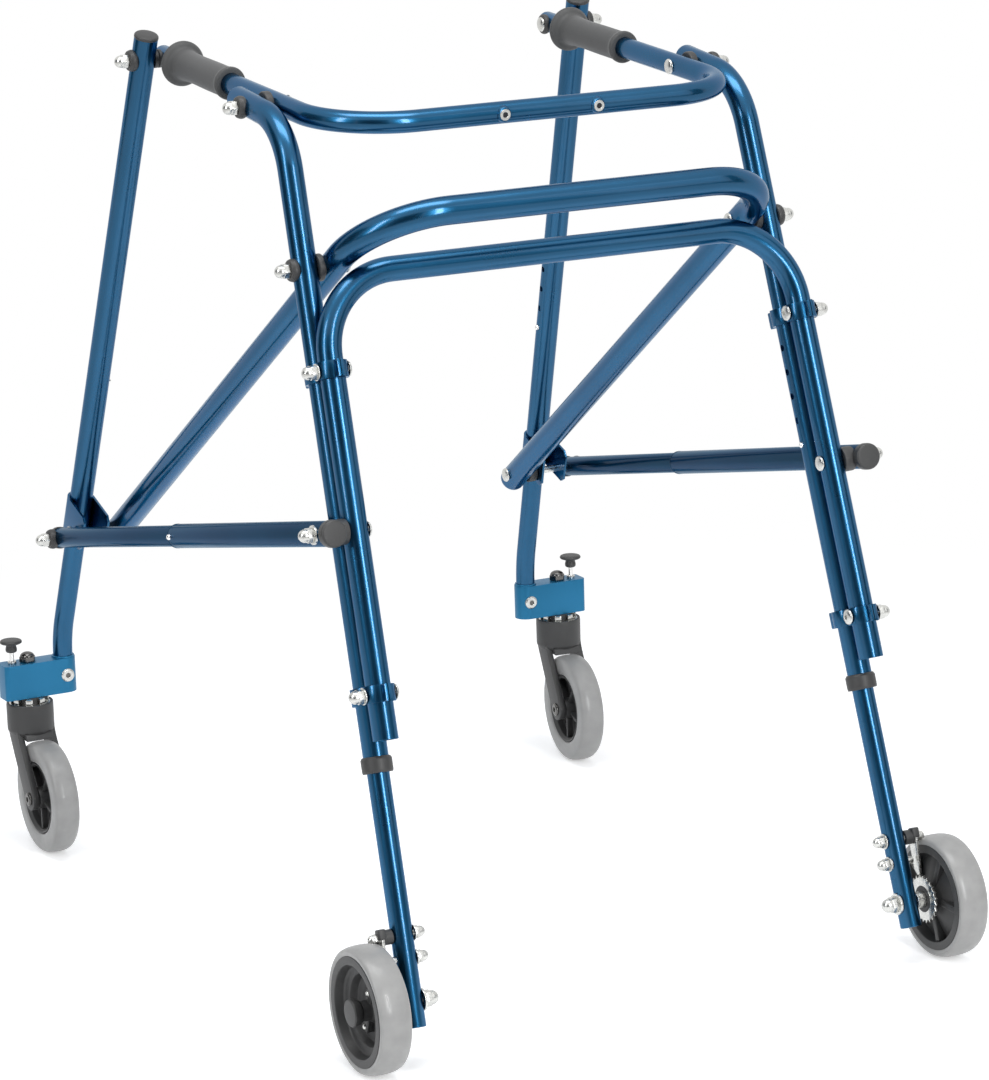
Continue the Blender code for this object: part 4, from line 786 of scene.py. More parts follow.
# %% A row of pegs, to cut a row of holes
HOLE_RADIUS = 0.0034
PEG_LENGTH = 0.006
peg_tree, given = new_tree("peg_row", Pitch="Vector", Facing="Vector", Finish="Material")
row = made(peg_tree, "GeometryNodeMeshLine", {"Count": HOLES, "Offset": given["Pitch"]})
peg_size = {"Vertices": 20, "Radius": HOLE_RADIUS, "Depth": PEG_LENGTH}
peg = made(peg_tree, "GeometryNodeMeshCylinder", peg_size)
facing = made(peg_tree, "FunctionNodeAlignRotationToVector", {"Vector": given["Facing"]})
on_row = {"Points": row, "Instance": peg, "Rotation": facing}
end_tree(peg_tree, made(peg_tree, "GeometryNodeInstanceOnPoints", on_row), given)


def punched(piece, lowest, up, outward):
    """A tube with a row of holes up its inner side, the lowest one at a point of its axis. The holes'
    walls are painted near-black as painted shade.
    """
    pegs = new_piece("holes", bpy.data.meshes.new("holes"))
    pitch = up * HOLE_PITCH
    pegs = grown(pegs, peg_tree, pitch=pitch, facing=outward, finish=FINISHES["dark_inside"])
    pegs.data.transform(Matrix.Translation(lowest - outward * TUBE_RADIUS))
    return cut_out(piece, pegs)


# %% A copy of a piece at a marked place
copy_tree, given = new_tree("copies_at_places", Model="Object", Finish="Material")
marked = {"inputs": {"Name": "facing"}, "output": "Attribute", "data_type": "FLOAT_VECTOR"}
facing = made(copy_tree, "GeometryNodeInputNamedAttribute", **marked)
facing = made(copy_tree, "FunctionNodeAlignRotationToVector", {"Vector": facing})
model = made(copy_tree, "GeometryNodeObjectInfo", {"Object": given["Model"]}, "Geometry")
at_marks = {"Points": given["Geometry"], "Instance": model, "Rotation": facing}
end_tree(copy_tree, made(copy_tree, "GeometryNodeInstanceOnPoints", at_marks), given)


def copied(name, point, direction, master, finish):
    """A copy of a master piece at a point, with its local Z along a direction."""
    mesh = bpy.data.meshes.new(name)
    mesh.from_pydata([point], [], [])
    facings = mesh.attributes.new("facing", "FLOAT_VECTOR", "POINT")
    facings.data[0].vector = direction.normalized()
    return grown(new_piece(name, mesh), copy_tree, model=master, finish=FINISHES[finish])


# %% Copies round an axis
round_tree, given = new_tree("copies_round_axis", Count="Int", Finish="Material")
spots = made(round_tree, "GeometryNodeMeshLine", {"Count": given["Count"], "Offset": (0, 0, 0)})
number = made(round_tree, "GeometryNodeInputIndex", {})
share = made(round_tree, "ShaderNodeMath", {0: number, 1: given["Count"]}, operation="DIVIDE")
angle = made(round_tree, "ShaderNodeMath", {0: share, 1: 2 * math.pi}, operation="MULTIPLY")
facing = made(round_tree, "ShaderNodeCombineXYZ", {"Z": angle})
on_spots = {"Points": spots, "Instance": given["Geometry"], "Rotation": facing}
end_tree(round_tree, made(round_tree, "GeometryNodeInstanceOnPoints", on_spots), given)


def fit_round(piece, count, finish, place, body):
    """Fits even copies of a piece round local Z, moved to their place."""
    copies = grown(piece, round_tree, count=count, finish=FINISHES[finish])
    copies.data.transform(place)
    settle(copies, body, finish)


print("node trees:", [tree.name for tree in bpy.data.node_groups])

# %% [markdown]
# ## Fasteners
#
# Each pivot is a through bolt. Its acorn nut sits outside, on a black saddle washer that hugs the
# round tube. Its smooth head sits inside. The nut is a short hexagon with a narrower dome on it,
# so the hexagon's corners stand out round the dome's foot as on a real one.

# %% Fastener pieces
HEAD_RADIUS = 0.008
HEAD_HEIGHT = 0.0035
HEAD_EDGE = 0.0008
SADDLE_THICKNESS = 0.005
SADDLE_SINK = 0.0035


def disc(name, low, high, radius, place, soften=0.0004, hole=0.0, steps=48):
    """A washer, spacer or cap between two heights on the bolt."""
    return turned(name, [(hole, low), (radius, low), (radius, high), (hole, high)], place, steps, soften)


def pin(name, low, high, radius, place):
    return disc(name, low, high, radius, place, steps=24)


def hollowed(piece, low, high, radius, place):
    """The piece with a round bore whose walls are painted near-black, painted shade as in the open end
    of a tube.
    """
    return cut_out(piece, painted(disc("hollow", low, high, radius, place, 0), "dark_inside"))


def acorn(name, seat, place, scale=1.0):
    """A hexagon with a dome on it, standing on the seat."""
    corner, height, tall = 0.0078 * scale, 0.0066 * scale, 0.0145 * scale
    width = corner * math.cos(math.pi / 6) * 0.97
    rim = height + 0.0008
    base = place @ spot(z=seat + height / 2)
    nut = slab(f"{name}_hexagon", [arc(corner, 6)], height, base, 0.0006, 3)
    dome = [(0, height - 0.001), (width, height - 0.001), (width, rim)]
    dome += [(x * width, rim + y * (tall - rim)) for x, y in arc(1, 12, 0, QUARTER)[1:-1]]
    cap = turned(f"{name}_dome", dome + [(0, tall)], place @ spot(z=seat), 40, 0)
    return united(name, nut, cap)


def round_head(name, seat, place, socket=False):
    """A domed bolt head whose crown faces inward from the seat, with or without a hexagon socket whose
    walls are painted dark as painted shade.
    """
    edge = seat - HEAD_EDGE
    profile = [(0, seat), (HEAD_RADIUS, seat), (HEAD_RADIUS, edge)]
    crown = arc(1, 9, 0.25, QUARTER - 0.25)[1:-1]
    profile += [(x * HEAD_RADIUS, edge - (HEAD_HEIGHT - HEAD_EDGE) * y) for x, y in crown]
    profile.append((0, seat - HEAD_HEIGHT))
    head = painted(turned(name, profile, place, 40, 0.0002), "zinc")
    if socket:
        top = place @ spot(z=seat - HEAD_HEIGHT)
        # The socket's walls take the dark finish as painted shade.
        well = slab("socket", [arc(HEAD_RADIUS * 0.34, 6)], 0.0036, top, 0)
        head = cut_out(head, painted(well, "dark_metal"))
    return head


def saddle(name, seat, place, radius=0.0118, thick=SADDLE_THICKNESS):
    """A moulded washer whose foot reaches down over the tube's round side."""
    profile = [(0, -SADDLE_SINK), (radius * 0.93, -SADDLE_SINK), (radius, 0.0005)]
    profile += [(radius * 0.86, thick), (0, thick)]
    return turned(name, raised(profile, seat), place, 48, 0.0016)

# %% [markdown]
# ## The fixed frame
#
# Two uprights lean forward as they rise, and bend at the top into short level arms. Behind them
# a hoop stands in the same lean. Folded straps clamp the hoop's legs to the uprights. The inner
# side of each upright has a row of holes for the spring button that sets the height.


# %% Uprights
def upright_corner(side):
    """Where the upright bends, and how high its top run's line passes over the rear axle."""
    pivot_y, pivot_z = HANDLEBAR_PIVOT
    level = pivot_z - UPRIGHT_TOP_SLOPE * pivot_y
    rise = UPRIGHT_TOP_SLOPE * REAR_LEG_LEAN
    return rear_leg(side, (level - rise * WHEEL_RADIUS) / (1 - rise)), level


collar = [
    (0.0116, -0.001), (0.0150, -0.001), (0.0155, 0.0015), (0.0155, 0.0125), (0.0140, 0.0150),
    (0.0126, 0.0150),
]
for tag, side in SIDES:
    up = rear_leg_up(side)
    foot = rear_leg(side, UPRIGHT_FOOT_Z)
    corner, level = upright_corner(side)
    tip = placed(corner.x, UPRIGHT_TIP_Y, level + UPRIGHT_TOP_SLOPE * UPRIGHT_TIP_Y)
    route = [foot, corner, tip]
    upright = tube(f"upright_tube_{tag}", route, TUBE_RADIUS, "blue_tube", 0.004, UPRIGHT_BEND)
    upright = punched(upright, rear_leg(side, REAR_BUTTON_Z), up, Vector((side, 0, 0)))
    settle(upright, "frame", "blue_tube", f"upright_{tag}")
    ring = turned(f"upright_collar_{tag}", collar, along(foot, up))
    fit(ring, "black_plastic", "frame")

# %% Rear hoop
route = hoop_corners(rear_hoop_leg, REAR_HOOP_FOOT_Z, REAR_HOOP_BAR_Z)
rear_hoop = tube("rear_hoop_tube", route, TUBE_RADIUS, "blue_tube", 0.0006, REAR_HOOP_BEND)
for tag, side in SIDES:
    end = along(rear_hoop_leg(side, REAR_HOOP_FOOT_Z), rear_leg_up(side))
    rear_hoop = hollowed(rear_hoop, -0.002, 0.030, 0.0112, end)
settle(rear_hoop, "frame", "blue_tube", "rear_hoop")

# %% Clamps
STRAP_THICKNESS = 0.003
BAND = TUBE_RADIUS + TOUCH + STRAP_THICKNESS
LUG_HALF = 0.0032
WASHER_THICKNESS = 0.0012


def clamp_outline():
    """Round the upright in front, round the hoop's leg behind, with a flat lug at each end."""
    lug = math.asin(LUG_HALF / BAND)
    waist = math.acos(HOOP_SPACING / 2 / BAND)
    sweep = math.pi - waist - lug
    ahead, behind = HOOP_SPACING + BAND + 0.0145, -BAND - 0.007
    outline = [(ahead, -LUG_HALF), (ahead, LUG_HALF)]
    outline += arc(BAND, 24, lug, sweep, (HOOP_SPACING, 0))
    outline += arc(BAND, 24, waist, sweep)[1:]
    outline += [(behind, LUG_HALF), (behind, -LUG_HALF)]
    outline += arc(BAND, 24, math.pi + lug, sweep)
    return outline + arc(BAND, 24, math.pi + waist, sweep, (HOOP_SPACING, 0))[1:]


outlines = [clamp_outline()]
outlines += [arc(TUBE_RADIUS + 0.0002, 40, centre=(x, 0)) for x in (0, HOOP_SPACING)]
slit_length = HOOP_SPACING + 2 * TUBE_RADIUS + 0.011
seat = BAND + TOUCH
for tag, side in SIDES:
    up = rear_leg_up(side)
    for level, height in CLAMP_HEIGHTS.items():
        name = f"{level}_clamp_{tag}"
        point = rear_hoop_leg(side, height)
        place = frame_at(point, up, ahead_of(up))
        strap = painted(slab(f"{name}_strap", outlines, 0.017, place, 0.0009, 3), "blue_tube")
        slit_place = place @ spot((HOOP_SPACING - slit_length) / 2)
        # The slit's faces take the painted shade finish, which stands for the shade in the gap.
        slit = painted(block("slit", (slit_length, 0.0009, 0.04), slit_place, 0), "dark_inside")
        settle(cut_out(strap, slit), "frame", "dark_tube", name)
        for way in (1, -1):
            lug_place = place @ spot(HOOP_SPACING + TUBE_RADIUS + 0.0110, way * 0.0036)
            lug = block(f"{name}_lug_{way}", (0.0115, 0.0022, 0.0166), lug_place)
            fit(lug, "blue_tube", "frame", slot="dark_tube")
        bolt = f"{level}_clamp_bolt_{tag}"
        place = along(point, Vector((side, 0, 0)))
        settle(round_head(f"{bolt}_head", -seat, place, socket=True), "frame", "zinc")
        rod = pin(f"{bolt}_rod", -seat - 0.001, seat + 0.004, BOLT_RADIUS, place)
        fit(rod, "zinc", "frame", bolt)
        washer = disc(f"{bolt}_washer", seat, seat + WASHER_THICKNESS, 0.0085, place, 0.0003)
        fit(washer, "zinc", "frame")
        fit(acorn(f"{bolt}_nut", seat + WASHER_THICKNESS, place), "zinc", "frame")

# %% The frame's pivot bolts
for tag, side in SIDES:
    pivots = {
        "arm": (rear_leg(side, ARM_PIVOT_Z), ARM_X_AT_PIVOT, MIDDLE_HOOP_RADIUS),
        "handlebar": (
            placed(upright_corner(side)[0].x, *HANDLEBAR_PIVOT), HANDLEBAR_X, HANDLEBAR_RADIUS
        ),
    }
    for pivot, (point, tube_x, radius) in pivots.items():
        name = f"{pivot}_bolt_{tag}"
        place = along(point, Vector((side, 0, 0)))
        seat = tube_x - abs(point.x) - radius
        settle(round_head(f"{name}_head", seat, place), "frame", "zinc")
        rod = pin(name, seat - 0.001, TUBE_RADIUS + 0.003, BOLT_RADIUS, place)
        fit(rod, "zinc", "frame", f"{pivot}_pivot_bolt_{tag}")
        fit(saddle(f"{name}_saddle", TUBE_RADIUS, place), "black_plastic", "frame")
        fit(acorn(f"{name}_nut", TUBE_RADIUS + SADDLE_THICKNESS, place), "zinc", "frame")
        low, high = tube_x - abs(point.x) + radius - 0.002, -TUBE_RADIUS + 0.002
        spacer = disc(f"{name}_spacer_0", low, high, 0.0138, place, 0.0018)
        fit(spacer, "black_plastic", "frame")

    name = f"brace_bolt_{tag}"
    hoop = rear_hoop_leg(side, BRACE_REAR_Z)
    pivot, brace_outward, _ = brace_pivot(side)
    far = (pivot - hoop).length
    seat = far + TUBE_RADIUS
    place = along(hoop, brace_outward)
    settle(round_head(f"{name}_head", -TUBE_RADIUS, place), "frame", "zinc")
    rod = pin(name, -TUBE_RADIUS - 0.001, seat + 0.004, BOLT_RADIUS, place)
    fit(rod, "zinc", "frame", f"brace_pivot_bolt_{tag}")
    bush = disc(f"{name}_bush", TUBE_RADIUS - 0.002, far - TUBE_RADIUS + 0.004, 0.0128, place, 0.0012)
    fit(bush, "black_plastic", "frame")
    washer = disc(f"{name}_washer", seat - 0.0010, seat + WASHER_THICKNESS, 0.0095, place)
    fit(washer, "zinc", "frame")
    fit(acorn(f"{name}_nut", seat + WASHER_THICKNESS, place), "zinc", "frame")
print("the fixed frame is dressed")

# %% [markdown]
# ## Handlebar and grips
#
# The handlebar is one tube bent round the user's back, nearly level. Each grip is a moulded
# sleeve with a wide dished flange ahead of the hand. Two threaded inserts in small bosses take
# accessories on the bar's rear face.

# %% Handlebar
FRONT_PAD = 0.0018
body = "handlebar"
bar_corners = hoop_corners(handlebar_point, HANDLEBAR_FRONT_Y, HANDLEBAR_REAR_Y)
bar = tube("handlebar_tube", bar_corners, HANDLEBAR_RADIUS, "blue_tube", 0.004, HANDLEBAR_BEND)
settle(bar, body, "blue_tube", "handlebar")
bar_back = bar_corners[1]
back_way = (bar_back - bar_corners[0]).normalized()
boss = [(0, -0.006), (0.0092, -0.006), (0.0074, 0.0012), (0.0056, 0.0018), (0, 0.0018)]
for index, x in enumerate((INSERT_X, -INSERT_X)):
    place = along(Vector((x, bar_back.y, bar_back.z)) + back_way * HANDLEBAR_RADIUS, back_way)
    fit(turned(f"insert_boss_{index}", boss, place, 40, 0.0012), "blue_tube", body)
    ring = disc(f"insert_ring_{index}", -0.002, 0.0026, 0.0057, place, 0.0003, 0.0028, 40)
    fit(ring, "zinc", body)
    # The dark disc in each insert is painted shade that stands for its threaded hole.
    fit(disc(f"insert_hole_{index}", -0.002, 0.0021, 0.0030, place), "dark_inside", body, slot="zinc")

for tag, side in SIDES:
    front = front_leg(side, HANDLEBAR_FRONT_PIVOT_Z)
    front.x = side * HANDLEBAR_X
    place = along(front, Vector((side, 0, 0)))
    settle(round_head(f"front_head_{tag}", -HANDLEBAR_RADIUS - 0.0028, place), body, "zinc")
    inward = place @ turn(180, "X")
    pad = saddle(f"front_head_saddle_{tag}", HANDLEBAR_RADIUS, inward, 0.0112, 0.0030)
    fit(pad, "black_plastic", body)
    low, high = HANDLEBAR_RADIUS - 0.002, HANDLEBAR_RADIUS + FRONT_PAD
    fit(disc(f"front_spacer_{tag}", low, high, 0.0098, place, 0.0008), "black_plastic", body)

# %% Grips
for tag, side in SIDES:
    rear, front = [handlebar_point(side, y) for y in GRIP_ENDS_Y]
    length = (front - rear).length
    back = length - 0.008
    sleeve = [
        (0.0108, length - 0.001), (0.0128, length - 0.001), (0.0165, length - 0.0032),
        (0.0205, length - 0.0012), (0.0232, length), (0.0240, length - 0.0018),
        (0.0238, length - 0.0040), (0.0215, back + 0.0010), (0.0182, back - 0.0010),
        (0.0164, back - 0.0045), (0.0157, back - 0.0110), (0.0153, length * 0.62),
        (0.0157, length * 0.38), (0.0157, 0.0130), (0.0160, 0.0080), (0.0172, 0.0048),
        (0.0174, 0.0024), (0.0164, 0.0002), (0.0130, 0), (0.0108, 0),
    ]
    grip = turned(f"grip_sleeve_{tag}", sleeve, along(rear, front - rear), 72, 0.0022)
    fit(grip, "black_rubber", body, f"grip_{tag}")
print("handlebar and grips are dressed")

# %% [markdown]
# ## Middle hoop
#
# The middle hoop is the thickest tube. Its arms slope down from the uprights to the front legs,
# and it carries the legs when the walker folds.

# %% Middle hoop
route = hoop_corners(arm_point, ARM_LENGTH + MIDDLE_HOOP_AHEAD, -MIDDLE_HOOP_BEHIND)
middle_hoop = tube(
    "middle_hoop_tube", route, MIDDLE_HOOP_RADIUS, "blue_tube", 0.006, MIDDLE_HOOP_BEND
)
settle(middle_hoop, "middle_hoop", "blue_tube", "middle_hoop")

# %% [markdown]
# ## Front legs
#
# A front leg is two tubes: the upper one hangs from the handlebar and the middle hoop's arm, and
# the lower one slides in it. A bent strap holds the arm's end. A black cap closes the top.

# %% Front legs
BRACKET_THICKNESS = 0.0025
inner = TUBE_RADIUS + TOUCH
outer = inner + BRACKET_THICKNESS
bracket = arc(outer, 40, -QUARTER, math.pi)
bracket += [(-BRACKET_REACH, outer), (-BRACKET_REACH, inner)]
bracket += arc(inner, 40, -QUARTER, math.pi)[::-1]
bracket += [(-BRACKET_REACH, -inner), (-BRACKET_REACH, -outer)]
cap = [
    (0, -0.0016), (0.0127, -0.0016), (0.0130, -0.0010), (0.0130, 0.0010), (0.0118, 0.0024),
    (0.0060, 0.0030), (0, 0.0032),
]
for tag, side in SIDES:
    outward = Vector((side, 0, 0))
    up = front_leg_up(side)
    body = f"front_leg_{tag}"
    foot, top = [front_leg(side, z) for z in (FRONT_UPPER_FOOT_Z, FRONT_LEG_TOP[2])]
    upper = tube(f"front_upper_tube_{tag}", [foot, top], TUBE_RADIUS, "blue_tube", 0.0008)
    upper = punched(upper, front_leg(side, FRONT_BUTTON_Z), up, outward)
    settle(upper, body, "blue_tube", f"front_leg_upper_{tag}")
    fit(turned(f"leg_cap_{tag}", cap, along(top, up), 64, 0.0008), "black_plastic", body)

    point = front_leg(side, HANDLEBAR_FRONT_PIVOT_Z)
    place = along(point, outward)
    meet = HANDLEBAR_X + HANDLEBAR_RADIUS + FRONT_PAD + TOUCH * 2 - abs(point.x)
    fit(pin(f"front_bolt_{tag}", meet, TUBE_RADIUS + 0.004, BOLT_RADIUS, place), "zinc", body)
    spacer = disc(f"front_bolt_spacer_{tag}", meet, -TUBE_RADIUS + 0.002, 0.0098, place, 0.0008)
    fit(spacer, "black_plastic", body)
    fit(saddle(f"front_bolt_saddle_{tag}", TUBE_RADIUS, place), "black_plastic", body)
    fit(acorn(f"front_bolt_nut_{tag}", TUBE_RADIUS + SADDLE_THICKNESS, place), "zinc", body)

    middle = front_leg(side, BRACKET_Z)
    place = frame_at(middle, up, ahead_of(up))
    strap = slab(f"bracket_strap_{tag}", [bracket], BRACKET_HEIGHT, place, 0)
    for way in (1, -1):
        corner = place @ spot(-BRACKET_REACH, 0, way * BRACKET_HEIGHT / 2) @ turn(45, "Y")
        strap = cut_out(strap, block("corner", (0.0075, 0.05, 0.0075), corner, 0))
    strap = soft_edged(strap, 0.0007, 2)
    fit(strap, "blue_tube", body, f"front_bracket_{tag}", slot="dark_tube")

    arm_end = placed(side * ARM_X_AT_FRONT, *FRONT_PIVOT)
    place = along(arm_end, outward)
    plate_x = abs((middle + up * (arm_end - middle).dot(up)).x) - ARM_X_AT_FRONT
    settle(round_head(f"lower_head_{tag}", -MIDDLE_HOOP_RADIUS, place), body, "zinc")
    low, high = -MIDDLE_HOOP_RADIUS - 0.001, plate_x + 0.0162
    rod = pin(f"lower_bolt_{tag}", low, high, BOLT_RADIUS, place)
    fit(rod, "zinc", body, f"lower_pivot_bolt_{tag}")
    low, high = MIDDLE_HOOP_RADIUS - 0.002, plate_x - 0.0158
    fit(disc(f"lower_spacer_{tag}", low, high, 0.0118, place, 0.0012), "black_plastic", body)
    fit(disc(f"lower_end_{tag}", plate_x + 0.0157, plate_x + 0.0170, 0.0065, place), "zinc", body)

# %% Lower front tubes and caster blocks
KNEE_BEND = 0.130
BLOCK_CORNER = 0.005
SCREW_X = 0.296
SCREW_Z = 0.1925
block_x = (BLOCK_ENDS_X[0] + BLOCK_ENDS_X[1]) / 2
half_x = (BLOCK_ENDS_X[1] - BLOCK_ENDS_X[0]) / 2
corner_x, corner_y = half_x - BLOCK_CORNER, BLOCK_HALF_Y - BLOCK_CORNER
outline = arc(BLOCK_HALF_Y, 30, QUARTER, math.pi, (BLOCK_HALF_Y - half_x, 0))
outline += arc(BLOCK_CORNER, 8, -QUARTER, QUARTER, (corner_x, -corner_y))
outline += arc(BLOCK_CORNER, 8, 0, QUARTER, (corner_x, corner_y))
screw = [(0.0028, -0.002), (0.0076, -0.002), (0.0076, 0.0008), (0.0062, 0.0018), (0.0028, 0.0018)]
for tag, side in SIDES:
    body = f"front_foot_{tag}"
    top, knee = [front_leg(side, z) for z in (FRONT_LOWER_TOP_Z, FRONT_KNEE_Z)]
    route = [top, knee, Vector((knee.x, knee.y, BLOCK_FOOT_Z + 0.0025))]
    lower = tube(f"front_lower_tube_{tag}", route, SLIDING_RADIUS, "blue_tube", 0.001, KNEE_BEND)
    settle(lower, body, "blue_tube", f"front_leg_lower_{tag}")

    middle = Vector((side * block_x, SOCKET_Y, (BLOCK_TOP_Z + BLOCK_FOOT_Z) / 2))
    place = frame_at(middle, UP, Vector((side, 0, 0)))
    casting = slab(f"block_{tag}", [outline], BLOCK_TOP_Z - BLOCK_FOOT_Z, place, 0.0022, 4)
    fit(casting, "blue_casting", body, f"caster_block_{tag}")
    place = spot(knee.x, knee.y, BLOCK_TOP_Z)
    fit(disc(f"block_collar_{tag}", -0.001, 0.0020, 0.0128, place, 0.0006), "blue_casting", body)
    place = along(Vector((side * SCREW_X, SOCKET_Y - BLOCK_HALF_Y, SCREW_Z)), Vector((0, -1, 0)))
    fit(turned(f"block_screw_{tag}", screw, place, 40), "zinc", body)
    # A thin dark hexagon on the screw head is painted shade that stands for its socket.
    well = slab(f"block_screw_well_{tag}", [arc(0.0031, 6)], 0.0012, place, 0)
    fit(well, "dark_metal", body, slot="zinc")
    place = spot(side * PLUNGER_X, SOCKET_Y, BLOCK_TOP_Z)
    guide = disc(f"plunger_guide_{tag}", -0.001, 0.0030, 0.0050, place, hole=0.0029)
    fit(guide, "zinc", body)
print("front legs and caster blocks are dressed")

# %% [markdown]
# ## Rear legs and wheels
#
# The lower rear tube slides in the upright. A rear wheel turns on a bolt through its foot. The
# hub is a deep dish outside. Inside it carries a toothed ring, and a pawl on the leg lets the
# wheel turn forward only.

# %% Rear legs
# Fittings on a sliding tube are measured from its skin.
skin = SLIDING_RADIUS
stud = [(0, -0.002), (0.0040, -0.002), (0.0040, 0.0050), (0.0030, 0.0060), (0, 0.0060)]
axle_cap = [
    (0, -0.0015), (0.0105, -0.0015), (0.0125, 0.0010), (0.0136, 0.0045), (0.0138, 0.0085),
    (0.0128, 0.0098), (0, 0.0100),
]
for tag, side in SIDES:
    body = f"rear_leg_{tag}"
    outward = Vector((side, 0, 0))
    foot, top = [rear_leg(side, z) for z in REAR_LEG_ENDS_Z]
    leg = tube(f"rear_leg_tube_{tag}", [foot, top], skin, "blue_tube", 0.0010)
    leg = hollowed(leg, -0.010, 0.012, skin - 0.0016, along(foot, rear_leg_up(side)))
    settle(leg, body, "blue_tube", f"rear_leg_{tag}")
    place = along(rear_leg(side, PAWL_STOP_Z), outward)
    inward = place @ turn(180, "X")
    fit(turned(f"stop_stud_{tag}", raised(stud, skin), place, 32), "zinc", body)
    low, high = -skin - WASHER_THICKNESS, -skin + 0.001
    fit(disc(f"stop_washer_{tag}", low, high, 0.0078, place), "zinc", body)
    fit(acorn(f"stop_nut_{tag}", skin + WASHER_THICKNESS, inward, 0.85), "zinc", body)

    name = f"axle_{tag}"
    point = rear_leg(side, WHEEL_RADIUS)
    place = along(point, outward)
    inward = place @ turn(180, "X")
    hub_face = REAR_WHEEL_X - abs(point.x) + 0.012
    hub_inner = REAR_WHEEL_X - abs(point.x) - 0.0245
    fit(pin(name, -skin - 0.004, hub_face + 0.002, 0.005, place), "zinc", body, f"rear_axle_{tag}")
    fit(disc(f"{name}_sleeve", skin - 0.001, hub_inner - TOUCH, 0.0085, place), "zinc", body)
    fit(disc(f"{name}_washer", -skin - 0.0015, -skin + 0.001, 0.0112, place), "zinc", body)
    fit(acorn(f"{name}_nut", skin + 0.0015, inward, 1.12), "zinc", body)
    lid = turned(f"{name}_cap", raised(axle_cap, hub_face), place, 64, 0.0009)
    fit(lid, "black_plastic", body)

# %% Rear wheel shapes
FLANGE_ROOT = 0.0133
TEETH = 24
TOOTH_TIP = 0.0250
TOOTH_ROOT = 0.0222
RATCHET_INWARD = 0.0227
rear_tread = [
    (0.0503, FLANGE_ROOT - 0.0003), (0.0553, 0.0160), (0.0590, 0.0166), (0.0612, 0.0150),
    (0.0627, 0.0105), (0.0634, 0.0050), (0.0635, 0),
]
dish = [
    (0.0054, 0.0110), (0.0095, 0.0110), (0.0100, 0.0100), (0.0105, 0.0020), (0.0135, -0.0030),
    (0.0240, -0.0040), (0.0330, -0.0030), (0.0345, 0.0010), (0.0360, 0.0048), (0.0425, 0.0062),
    (0.0440, 0.0075), (0.0462, 0.0163), (0.0545, 0.0163), (0.0549, 0.0156), (0.0500, FLANGE_ROOT),
    (0.0500, -FLANGE_ROOT), (0.0549, -0.0156), (0.0545, -0.0163), (0.0465, -0.0163),
    (0.0440, -0.0045), (0.0330, -0.0085), (0.0200, -0.0130), (0.0140, -0.0160), (0.0140, -0.0245),
    (0.0054, -0.0245),
]
rivet_profile = [(0, 0.0030), (0.0030, 0.0030), (0.0030, 0.0044), (0.0021, 0.0056), (0, 0.0060)]
saw = []
for index in range(TEETH):
    angle = 2 * math.pi / TEETH * index
    saw.append((TOOTH_TIP * math.cos(angle), TOOTH_TIP * math.sin(angle)))
    saw += arc(TOOTH_ROOT, 3, angle + 0.02, 0.12)

# %% Rear wheels
for tag, side in SIDES:
    body = f"rear_wheel_{tag}"
    place = frame_at(placed(side * REAR_WHEEL_X, 0, WHEEL_RADIUS), Vector((side, 0, 0)), UP)
    tyre = turned(f"rear_tyre_tread_{tag}", both_faces(rear_tread), place, 128, 0.0024)
    fit(tyre, "grey_tyre", body, f"rear_tyre_{tag}")
    hub = turned(f"rear_hub_dish_{tag}", dish, place, 96, 0.0009)
    fit(hub, "black_plastic", body, f"rear_hub_{tag}")
    across = place @ turn(-15, "Z")
    lug = block(f"rear_hub_lugs_{tag}", (0.0240, 0.0100, 0.0100), spot(0.0120, 0, -0.0010), 0.0020)
    fit_round(lug, 2, "black_plastic", across, body)
    rivet = turned(f"ratchet_rivets_{tag}", rivet_profile, spot(0.0190), 32, 0.0005)
    fit_round(rivet, 2, "zinc", across, body)
    rib = block(f"rear_hub_ribs_{tag}", (0.0300, 0.0065, 0.0090), spot(0.0305, 0, -0.0105), 0.0012)
    fit_round(rib, 5, "black_plastic", place @ turn(20, "Z"), body)
    ratchet_place = place @ spot(z=-RATCHET_INWARD)
    ratchet = slab(f"rear_ratchet_{tag}", [saw, arc(0.0120, 40)], 0.0030, ratchet_place, 0.0003)
    fit(ratchet, "zinc", body)

